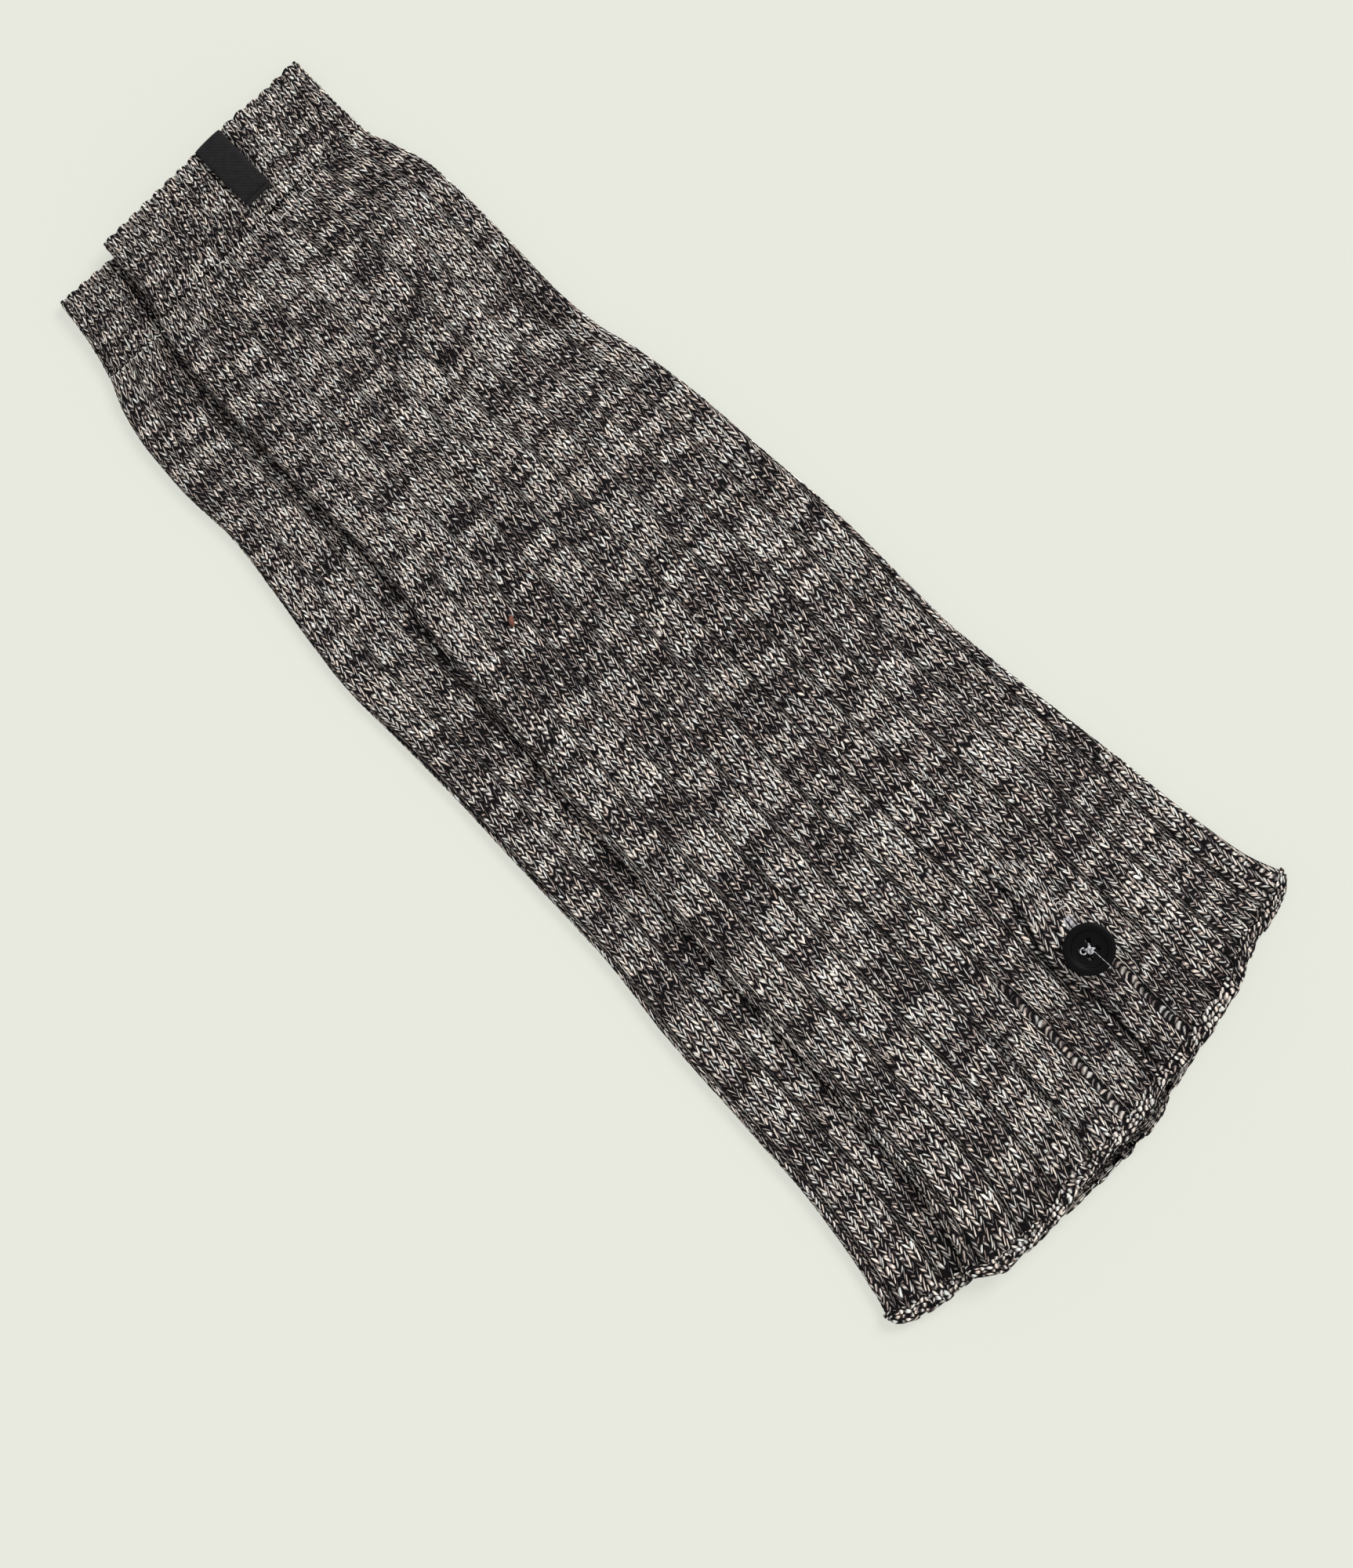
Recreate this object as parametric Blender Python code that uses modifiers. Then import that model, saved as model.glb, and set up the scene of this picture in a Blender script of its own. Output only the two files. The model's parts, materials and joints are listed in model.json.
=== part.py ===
"""A pair of ribbed knit leg warmers, laid flat with one on top of the other.

Each leg warmer is an open knit tube: a short ribbed cuff at the knee end, a body
of wide ribs that widens towards the ankle, and a bound-off hem. The one on top
has a slit at its hem, closed by a narrow placket flap with one button, and a
folded label on its cuff. It lies 30 mm to the right of the one below, so its
right side drapes down to the surface.

Sizes in the tables are in millimetres; MM turns them into metres. X runs
across, +Y runs towards the cuffs and Z = 0 is the surface below.
"""

from collections import namedtuple
import math

import bmesh
import bpy
import numpy as np

MM = 0.001
GAP = 0.3               # clearance between pieces that touch

# The knit
WALL = 1.9              # thickness of one layer of knit
RIB_COUNT = 8           # grooves between ribs that run the whole front
GROOVE_DEPTH = 0.8
GROOVE_HALF_WIDTH = 1.7
FOLD_ANGLES = (45.0, 0.0, -45.0)
CUFF_LAST = 2           # row of the tables where the cuff ends
HEM_HEIGHT = 3.4        # bound-off edge
HEM_PROUD = 0.4         # how much thicker the bound-off edge is than the knit

# The fall of the top one from the layer below down to the surface
FALL_START = -1.0       # measured from the lower one's right edge
FALL_WIDTH = 15.0
FALL_STEPS = (0.0, 0.25, 0.5, 0.75, 1.0)

# The placket flap
FLAP_WALL = 1.7
FLAP_COLUMNS = 5
BUTTONHOLE = (37.0, -159.5)
BUTTONHOLE_SIZE = (1.4, 8.0)

# The button
BUTTON_PLACE = (35.0, -170.6)
BUTTON_RADIUS = 9.0
BUTTON_HEIGHT = 2.8
BUTTON_RIM = 2.3
BUTTON_DISH = 0.7
BUTTON_EDGE = 0.6
HOLE_RADIUS = 1.1
HOLE_OFFSET = 2.8
HOLE_TURN = 55.0        # of the square of holes and the thread, in degrees
THREAD_RADIUS = 0.5

# The label
LABEL_CENTRE = 13.1
LABEL_WIDTH = 11.0
LABEL_WALL = 0.5
LABEL_LOW = 203.8
LABEL_INSIDE = 219.0

# One row for each ring of the tube, from the cuff's edge to the hem:
# the left and right edges, the hollow between the two layers, the height of
# what the left part lies on, the share of the hem's slump, and the first
# groove and rib pitch as shares of the width.
Row = namedtuple(
    "Row", "left_x left_y right_x right_y hollow lift slump groove pitch"
)

TOP_ROWS = (
    Row(-36.3, 228.2, 53.9, 228.2, 1.5, 5.7, 0.00, -0.006, 0.115),
    Row(-37.1, 213.0, 53.7, 213.0, 1.3, 5.6, 0.00, -0.006, 0.115),
    Row(-40.8, 198.0, 54.2, 198.0, 0.6, 5.2, 0.00, -0.006, 0.115),
    Row(-43.9, 185.4, 58.2, 185.4, 0.5, 4.7, 0.00, -0.006, 0.115),
    Row(-45.3, 169.6, 62.4, 169.6, 0.5, 4.7, 0.00, -0.004, 0.115),
    Row(-45.7, 144.0, 63.3, 144.0, 0.5, 4.7, 0.00, -0.002, 0.114),
    Row(-45.9, 114.0, 63.0, 114.0, 0.5, 4.7, 0.00, 0.000, 0.113),
    Row(-45.5, 95.9, 64.5, 95.9, 0.5, 4.7, 0.00, 0.002, 0.113),
    Row(-46.6, 77.5, 69.2, 77.5, 0.5, 4.7, 0.00, 0.003, 0.112),
    Row(-49.5, 56.4, 72.4, 56.4, 0.5, 4.7, 0.00, 0.005, 0.111),
    Row(-52.1, 24.9, 75.0, 24.9, 0.5, 4.7, 0.00, 0.008, 0.110),
    Row(-55.3, -15.0, 78.1, -15.0, 0.5, 4.7, 0.00, 0.012, 0.108),
    Row(-56.8, -54.1, 78.4, -54.1, 0.5, 4.7, 0.00, 0.015, 0.107),
    Row(-58.4, -93.0, 82.0, -90.0, 0.5, 4.7, 0.03, 0.018, 0.106),
    Row(-59.5, -133.0, 86.8, -125.1, 0.5, 4.7, 0.15, 0.021, 0.105),
    Row(-60.5, -158.0, 89.5, -146.2, 0.5, 4.7, 0.35, 0.023, 0.104),
    Row(-61.6, -181.2, 92.4, -168.6, 0.5, 4.9, 0.62, 0.024, 0.104),
    Row(-65.0, -202.0, 95.5, -185.7, 0.6, 5.4, 0.88, 0.024, 0.104),
    Row(-70.0, -218.0, 100.0, -197.3, 0.8, 5.4, 1.00, 0.024, 0.104),
)

UNDER_ROWS = (
    Row(-60.5, 225.2, 25.6, 219.6, 1.5, 0.0, 0.00, -0.006, 0.115),
    Row(-62.4, 211.3, 25.4, 205.9, 1.3, 0.0, 0.00, -0.006, 0.115),
    Row(-66.1, 196.6, 25.9, 191.6, 0.6, 0.0, 0.00, -0.006, 0.115),
    Row(-70.5, 186.4, 29.2, 182.6, 0.5, 0.0, 0.00, -0.006, 0.115),
    Row(-74.2, 169.6, 32.1, 167.5, 0.5, 0.0, 0.00, -0.004, 0.115),
    Row(-75.4, 150.0, 33.0, 148.0, 0.5, 0.0, 0.00, -0.002, 0.114),
    Row(-74.5, 130.1, 32.7, 128.0, 0.5, 0.0, 0.00, 0.000, 0.113),
    Row(-77.4, 103.8, 33.6, 101.6, 0.5, 0.0, 0.00, 0.002, 0.113),
    Row(-80.3, 84.1, 37.9, 82.8, 0.5, 0.0, 0.00, 0.003, 0.112),
    Row(-82.4, 61.7, 41.6, 60.4, 0.5, 0.0, 0.00, 0.005, 0.111),
    Row(-81.8, 27.5, 44.7, 26.9, 0.5, 0.0, 0.00, 0.008, 0.110),
    Row(-82.6, -15.0, 47.8, -15.0, 0.5, 0.0, 0.00, 0.012, 0.108),
    Row(-83.4, -54.1, 48.1, -54.1, 0.5, 0.0, 0.00, 0.015, 0.107),
    Row(-87.4, -93.0, 51.7, -90.0, 0.5, 0.0, 0.03, 0.018, 0.106),
    Row(-89.5, -133.0, 56.5, -125.1, 0.5, 0.0, 0.15, 0.021, 0.105),
    Row(-90.6, -158.0, 59.2, -146.2, 0.5, 0.0, 0.35, 0.023, 0.104),
    Row(-93.3, -180.4, 62.1, -168.6, 0.5, 0.0, 0.62, 0.024, 0.104),
    Row(-96.3, -197.5, 65.2, -185.7, 0.6, 0.0, 0.88, 0.024, 0.104),
    Row(-100.0, -211.4, 68.8, -196.6, 0.8, 0.0, 1.00, 0.024, 0.104),
)

# How far the hem slumps below a straight line from corner to corner.
Slump = namedtuple("Slump", "across front back")

TOP_HEM = (
    Slump(0.00, 0.0, 0.0),
    Slump(0.05, 7.2, 7.2),
    Slump(0.20, 10.6, 11.0),
    Slump(0.29, 9.4, 13.3),
    Slump(0.38, 11.1, 15.5),
    Slump(0.47, 12.2, 16.4),
    Slump(0.54, 10.3, 13.6),
    Slump(0.66, 11.0, 11.0),
    Slump(0.78, 9.1, 9.1),
    Slump(0.85, 4.8, 4.8),
    Slump(0.97, 3.5, 3.5),
    Slump(1.00, 0.0, 0.0),
)

UNDER_HEM = (
    Slump(0.00, 0.0, 0.0),
    Slump(0.03, 4.0, 4.0),
    Slump(0.08, 6.8, 6.8),
    Slump(0.16, 10.0, 10.0),
    Slump(0.40, 14.0, 14.0),
    Slump(0.60, 13.4, 13.4),
    Slump(0.75, 9.6, 9.6),
    Slump(0.88, 4.8, 4.8),
    Slump(1.00, 0.0, 0.0),
)

# The placket flap: its free left edge and its rooted right edge.
FlapRow = namedtuple("FlapRow", "along free_x root_x")

FLAP_ROWS = (
    FlapRow(-128.3, 28.6, 31.6),
    FlapRow(-137.2, 29.3, 36.4),
    FlapRow(-148.8, 26.6, 38.8),
    FlapRow(-158.6, 23.4, 39.8),
    FlapRow(-166.0, 22.1, 40.1),
    FlapRow(-175.7, 23.5, 40.6),
    FlapRow(-181.7, 25.3, 40.8),
    FlapRow(-190.7, 25.8, 40.9),
    FlapRow(-202.3, 25.3, 41.0),
    FlapRow(-210.6, 24.8, 41.0),
)


def clear_scene():
    """Empty the scene and return the collections for the parts and the cutters."""
    for thing in list(bpy.data.objects):
        bpy.data.objects.remove(thing, do_unlink=True)
    folders = []
    for name in ("leg_warmers", "cutters"):
        folder = bpy.data.collections.new(name)
        bpy.context.scene.collection.children.link(folder)
        folders.append(folder)
    return folders


def make_material(name, colour, roughness):
    """A Principled material with one colour and one roughness."""
    material = bpy.data.materials.new(name)
    material.use_nodes = True
    shader = material.node_tree.nodes["Principled BSDF"]
    shader.inputs["Base Color"].default_value = (*colour, 1.0)
    shader.inputs["Roughness"].default_value = roughness
    shader.inputs["Metallic"].default_value = 0.0
    return material


def add_object(name, data, folder, material):
    """Link an object made from data, with its one material."""
    piece = bpy.data.objects.new(name, data)
    folder.objects.link(piece)
    data.materials.append(material)
    return piece


def smooth_step(value):
    """Ease from 0 to 1 as value goes from 0 to 1."""
    value = np.clip(value, 0.0, 1.0)
    return value * value * (3.0 - 2.0 * value)


class Tube:
    """One leg warmer: rings of points worked out from its table of rows."""

    def __init__(self, rows, hem, neighbour_rows=None):
        self.rows = rows
        self.hem = hem
        self.neighbour_rows = neighbour_rows

    def fall_x(self, index):
        """Where the fall to the surface starts, or None on the lower one."""
        if self.neighbour_rows is None:
            return None
        edge_y = [-row.right_y for row in self.neighbour_rows]
        edge_x = [row.right_x for row in self.neighbour_rows]
        return float(np.interp(-self.rows[index].right_y, edge_y, edge_x)) + FALL_START

    def base(self, index, x):
        """Height of the underside at x: the lift, falling to 0 past the lower one."""
        start = self.fall_x(index)
        if start is None:
            return np.zeros_like(x)
        return self.rows[index].lift * (1.0 - smooth_step((x - start) / FALL_WIDTH))

    def samples(self, index):
        """The x of every point across the front: grooves, their sides and the fall."""
        row = self.rows[index]
        width = row.right_x - row.left_x
        radius = 0.5 * (2.0 * WALL + row.hollow)
        marks = [row.left_x + radius, row.right_x - radius]
        for number in range(1, RIB_COUNT + 1):
            centre = row.left_x + (row.groove + number * row.pitch) * width
            marks += [centre - GROOVE_HALF_WIDTH, centre, centre + GROOVE_HALF_WIDTH]
        start = self.fall_x(index)
        if start is not None:
            marks += [start + share * FALL_WIDTH for share in FALL_STEPS]
        low, high = marks[0], marks[1]
        return np.clip(np.sort(np.array(marks)), low, high)

    def groove(self, index, x):
        """Depth of the groove at x, 0 between the grooves."""
        row = self.rows[index]
        width = row.right_x - row.left_x
        number = ((x - row.left_x) / width - row.groove) / row.pitch
        nearest = np.clip(np.round(number), 1, RIB_COUNT)
        away = np.abs(number - nearest) * row.pitch * width
        return GROOVE_DEPTH * np.clip(1.0 - away / GROOVE_HALF_WIDTH, 0.0, 1.0)

    def ring(self, index, grooved, extra=0.0, thicker=0.0):
        """The outer and inner loops of one ring, as arrays of points.

        extra moves the ring along the tube, towards the hem. thicker adds to the
        front. The front runs left to right, then the right fold, the back from
        right to left and the left fold.
        """
        row = self.rows[index]
        radius = 0.5 * (2.0 * WALL + row.hollow)
        front = self.spread(self.samples(index), row.left_x + radius, row.right_x - radius)
        back = front[::-1] if self.neighbour_rows else self.flat_back(front)
        relief = self.groove(index, front) if grooved else np.zeros_like(front)
        angles = np.radians(FOLD_ANGLES)
        loops = []
        for inset in (0.0, WALL):
            height = self.base(index, front) + 2.0 * radius - inset
            if inset == 0.0:
                height = height - relief + thicker
            fold = radius - inset
            right_base = float(self.base(index, back[:1])[0]) + radius
            left_base = float(self.base(index, back[-1:])[0]) + radius
            x = np.concatenate((
                front,
                back[0] + fold * np.cos(angles),
                back,
                back[-1] - fold * np.cos(angles),
            ))
            z = np.concatenate((
                height,
                right_base + fold * np.sin(angles),
                self.base(index, back) + inset,
                left_base - fold * np.sin(angles),
            ))
            y = self.along(index, x, len(front) + 1) - extra
            loops.append(np.stack((x, y, z), axis=1))
        return loops

    def flat_back(self, front):
        """Points across a back that lies flat: only those that its hem needs."""
        shares = np.array([point.across for point in self.hem])
        return (front[0] + shares * (front[-1] - front[0]))[::-1]

    @staticmethod
    def spread(marks, low, high):
        """Keep marks that were crowded against either end evenly apart."""
        least = 0.05
        steps = least * np.arange(len(marks))
        return np.clip(marks, low + steps, high - steps[::-1])

    def along(self, index, x, front_count):
        """The y of each point: the line from edge to edge, less the hem's slump."""
        row = self.rows[index]
        share = np.clip((x - row.left_x) / (row.right_x - row.left_x), 0.0, 1.0)
        across = [point.across for point in self.hem]
        drop = np.interp(share, across, [point.back for point in self.hem])
        front_drop = np.interp(share, across, [point.front for point in self.hem])
        drop[:front_count] = front_drop[:front_count]
        return row.left_y + share * (row.right_y - row.left_y) - row.slump * drop

    def front_height(self, x, y):
        """Height of the front at one place, read between the rows."""
        ys = []
        zs = []
        for index, row in enumerate(self.rows):
            place = np.array([x])
            ys.append(-float(self.along(index, place, 1)[0]))
            thick = 2.0 * WALL + row.hollow
            zs.append(float(self.base(index, place)[0]) + thick)
        return float(np.interp(-y, ys, zs))


def loft(name, rings, folder, material):
    """A closed wall through the rings, each an outer and an inner loop."""
    mesh = bmesh.new()
    made = []
    for outer, inner in rings:
        made.append([
            [mesh.verts.new([value * MM for value in point]) for point in loop]
            for loop in (outer, inner)
        ])
    count = len(made[0][0])
    for (outer_a, inner_a), (outer_b, inner_b) in zip(made, made[1:]):
        for i in range(count):
            j = (i + 1) % count
            mesh.faces.new((outer_a[j], outer_a[i], outer_b[i], outer_b[j]))
            mesh.faces.new((inner_a[i], inner_a[j], inner_b[j], inner_b[i]))
    for (outer, inner), turned in ((made[0], False), (made[-1], True)):
        for i in range(count):
            j = (i + 1) % count
            face = (outer[i], outer[j], inner[j], inner[i])
            mesh.faces.new(face[::-1] if turned else face)
    bmesh.ops.recalc_face_normals(mesh, faces=mesh.faces)
    data = bpy.data.meshes.new(name)
    mesh.to_mesh(data)
    mesh.free()
    data.set_sharp_from_angle(angle=math.radians(50.0))
    return add_object(name, data, folder, material)


def make_warmer(prefix, tube, folder, material):
    """The cuff, body tube and hem of one leg warmer."""
    last = len(tube.rows) - 1
    cuff = [tube.ring(index, grooved=False) for index in range(CUFF_LAST + 1)]
    loft(prefix + "_cuff", cuff, folder, material)
    body = [tube.ring(CUFF_LAST, grooved=False, extra=GAP)]
    body += [tube.ring(index, grooved=True) for index in range(CUFF_LAST + 1, last)]
    body.append(tube.ring(last, grooved=False))
    loft(prefix + "_tube", body, folder, material)
    hem = [
        tube.ring(last, grooved=False, extra=GAP, thicker=HEM_PROUD),
        tube.ring(last, grooved=False, extra=GAP + HEM_HEIGHT, thicker=HEM_PROUD),
    ]
    loft(prefix + "_hem", hem, folder, material)


def sheet(name, grid, folder, material, thickness, offset):
    """An open grid of points given a wall by Solidify."""
    rows, columns = grid.shape[:2]
    faces = []
    for row in range(rows - 1):
        for column in range(columns - 1):
            corner = row * columns + column
            faces.append((corner, corner + columns, corner + columns + 1, corner + 1))
    data = bpy.data.meshes.new(name)
    data.from_pydata((grid.reshape(-1, 3) * MM).tolist(), [], faces)
    piece = add_object(name, data, folder, material)
    wall = piece.modifiers.new("wall", "SOLIDIFY")
    wall.thickness = thickness * MM
    wall.offset = offset
    wall.use_even_offset = True
    return piece


def make_flap(tube, parts, cutters, material):
    """The placket flap, taken from the front's own points and moved out."""
    grid = np.zeros((len(FLAP_ROWS), FLAP_COLUMNS, 3))
    for number, row in enumerate(FLAP_ROWS):
        for column, x in enumerate(np.linspace(row.free_x, row.root_x, FLAP_COLUMNS)):
            height = tube.front_height(x, row.along) + GAP
            grid[number, column] = (x, row.along, height)
    flap = sheet("placket_flap", grid, parts, material, FLAP_WALL, 1.0)
    bpy.ops.mesh.primitive_cube_add(size=1.0)
    cutter = bpy.context.object
    cutter.name = "buttonhole_cutter"
    middle = tube.front_height(*BUTTONHOLE) + GAP + 0.5 * FLAP_WALL
    cutter.location = (BUTTONHOLE[0] * MM, BUTTONHOLE[1] * MM, middle * MM)
    cutter.scale = (BUTTONHOLE_SIZE[0] * MM, BUTTONHOLE_SIZE[1] * MM, 3.0 * FLAP_WALL * MM)
    hide_cutter(cutter, cutters)
    cut_with(flap, cutter)
    return flap


def hide_cutter(cutter, cutters):
    """Move a cutter to its own collection and keep it out of renders."""
    for folder in list(cutter.users_collection):
        folder.objects.unlink(cutter)
    cutters.objects.link(cutter)
    cutter.hide_render = True
    cutter.display_type = "WIRE"


def cut_with(piece, cutter):
    """Subtract the cutter from the piece."""
    cut = piece.modifiers.new("cut " + cutter.name, "BOOLEAN")
    cut.operation = "DIFFERENCE"
    cut.solver = "EXACT"
    cut.object = cutter


def make_button(floor, parts, cutters, material):
    """A turned button with a raised rim, a dished middle and four holes."""
    inner = BUTTON_RADIUS - BUTTON_RIM
    dish = BUTTON_HEIGHT - BUTTON_DISH
    profile = (
        (0.0, dish),
        (inner - BUTTON_EDGE, dish),
        (inner, BUTTON_HEIGHT),
        (BUTTON_RADIUS - BUTTON_EDGE, BUTTON_HEIGHT),
        (BUTTON_RADIUS, BUTTON_HEIGHT - BUTTON_EDGE),
        (BUTTON_RADIUS, BUTTON_EDGE),
        (BUTTON_RADIUS - BUTTON_EDGE, 0.0),
        (0.0, 0.0),
    )
    data = bpy.data.meshes.new("button")
    points = [(x * MM, 0.0, z * MM) for x, z in profile]
    data.from_pydata(points, [(i, i + 1) for i in range(len(points) - 1)], [])
    button = add_object("button", data, parts, material)
    button.location = (BUTTON_PLACE[0] * MM, BUTTON_PLACE[1] * MM, floor * MM)
    turn = button.modifiers.new("turn", "SCREW")
    turn.steps = 40
    turn.render_steps = 40
    turn.use_merge_vertices = True
    turn.merge_threshold = 0.00001
    turn.use_smooth_shade = True
    for number in range(4):
        angle = math.radians(HOLE_TURN + 90.0 * number)
        bpy.ops.mesh.primitive_cylinder_add(
            vertices=12, radius=HOLE_RADIUS * MM, depth=3.0 * BUTTON_HEIGHT * MM
        )
        cutter = bpy.context.object
        cutter.name = "button_hole_%d_cutter" % (number + 1)
        cutter.location = (
            (BUTTON_PLACE[0] + HOLE_OFFSET * math.cos(angle)) * MM,
            (BUTTON_PLACE[1] + HOLE_OFFSET * math.sin(angle)) * MM,
            (floor + 0.5 * BUTTON_HEIGHT) * MM,
        )
        hide_cutter(cutter, cutters)
        cut_with(button, cutter)
    return button


def make_thread(floor, parts, material):
    """One strand of sewing thread that rises from a hole and goes down the opposite one."""
    dish = floor + BUTTON_HEIGHT - BUTTON_DISH
    low = dish - 1.0
    crown = THREAD_RADIUS + GAP + 0.2
    half = [(HOLE_OFFSET, low - dish)]
    for angle in np.radians((0.0, 30.0, 60.0, 90.0)):
        half.append((
            HOLE_OFFSET - 1.0 + math.cos(angle),
            0.1 + crown * math.sin(angle),
        ))
    path = [(-across, rise) for across, rise in half] + half[::-1]
    curve = bpy.data.curves.new("button_thread", "CURVE")
    curve.dimensions = "3D"
    curve.bevel_depth = THREAD_RADIUS * MM
    curve.bevel_resolution = 2
    curve.use_fill_caps = True
    line = curve.splines.new("POLY")
    line.points.add(len(path) - 1)
    for point, (across, rise) in zip(line.points, path):
        point.co = (across * MM, 0.0, (dish - floor + rise) * MM, 1.0)
    thread = add_object("button_thread", curve, parts, material)
    thread.location = (BUTTON_PLACE[0] * MM, BUTTON_PLACE[1] * MM, floor * MM)
    thread.rotation_euler = (0.0, 0.0, math.radians(HOLE_TURN))
    return thread


def make_label(tube, parts, material):
    """A woven label folded over the cuff's edge, one leaf outside and one inside."""
    edge = tube.rows[0].left_y
    away = GAP + 0.5 * LABEL_WALL
    outside = [
        (y, tube.front_height(LABEL_CENTRE, y) + away)
        for y in (LABEL_LOW, 208.5, 213.0, 220.5, edge)
    ]
    top = tube.front_height(LABEL_CENTRE, edge)
    turn = [
        (edge + away, top - 0.1),
        (edge + away, top - WALL + 0.1),
    ]
    inside = [
        (edge, top - WALL - away),
        (LABEL_INSIDE, tube.front_height(LABEL_CENTRE, LABEL_INSIDE) - WALL - away),
    ]
    path = outside + turn + inside
    grid = np.zeros((len(path), 2, 3))
    for number, (y, z) in enumerate(path):
        grid[number, :, 1] = y
        grid[number, :, 2] = z
        grid[number, 0, 0] = LABEL_CENTRE - 0.5 * LABEL_WIDTH
        grid[number, 1, 0] = LABEL_CENTRE + 0.5 * LABEL_WIDTH
    return sheet("label", grid, parts, material, LABEL_WALL, 0.0)


def main():
    """Build every piece of the pair."""
    parts, cutters = clear_scene()
    knit_top = make_material("marl_knit_top", (0.16, 0.15, 0.15), 0.95)
    knit_under = make_material("marl_knit_under", (0.14, 0.13, 0.13), 0.95)
    black = make_material("black_button", (0.01, 0.01, 0.011), 0.35)
    grey = make_material("grey_thread", (0.45, 0.45, 0.46), 0.8)
    woven = make_material("black_woven_label", (0.015, 0.015, 0.016), 0.7)

    under = Tube(UNDER_ROWS, UNDER_HEM)
    top = Tube(TOP_ROWS, TOP_HEM, UNDER_ROWS)
    make_warmer("under", under, parts, knit_under)
    make_warmer("top", top, parts, knit_top)
    make_flap(top, parts, cutters, knit_top)
    floor = top.front_height(*BUTTON_PLACE) + GAP + FLAP_WALL + GAP
    make_button(floor, parts, cutters, black)
    make_thread(floor, parts, grey)
    make_label(top, parts, woven)


main()
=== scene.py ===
"""Looks of a pair of marl rib-knit leg warmers, laid flat with one on the other.

Each leg warmer is a knit tube worked out from a short table of rows, as the solid
part is. The visible front is real relief: every stitch leg is a ridge of its own.
Lengths inside this file are in millimetres, and MM turns them into metres when a
mesh is made. X runs across, +Y towards the cuffs, Z = 0 is the surface below.
"""

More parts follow.
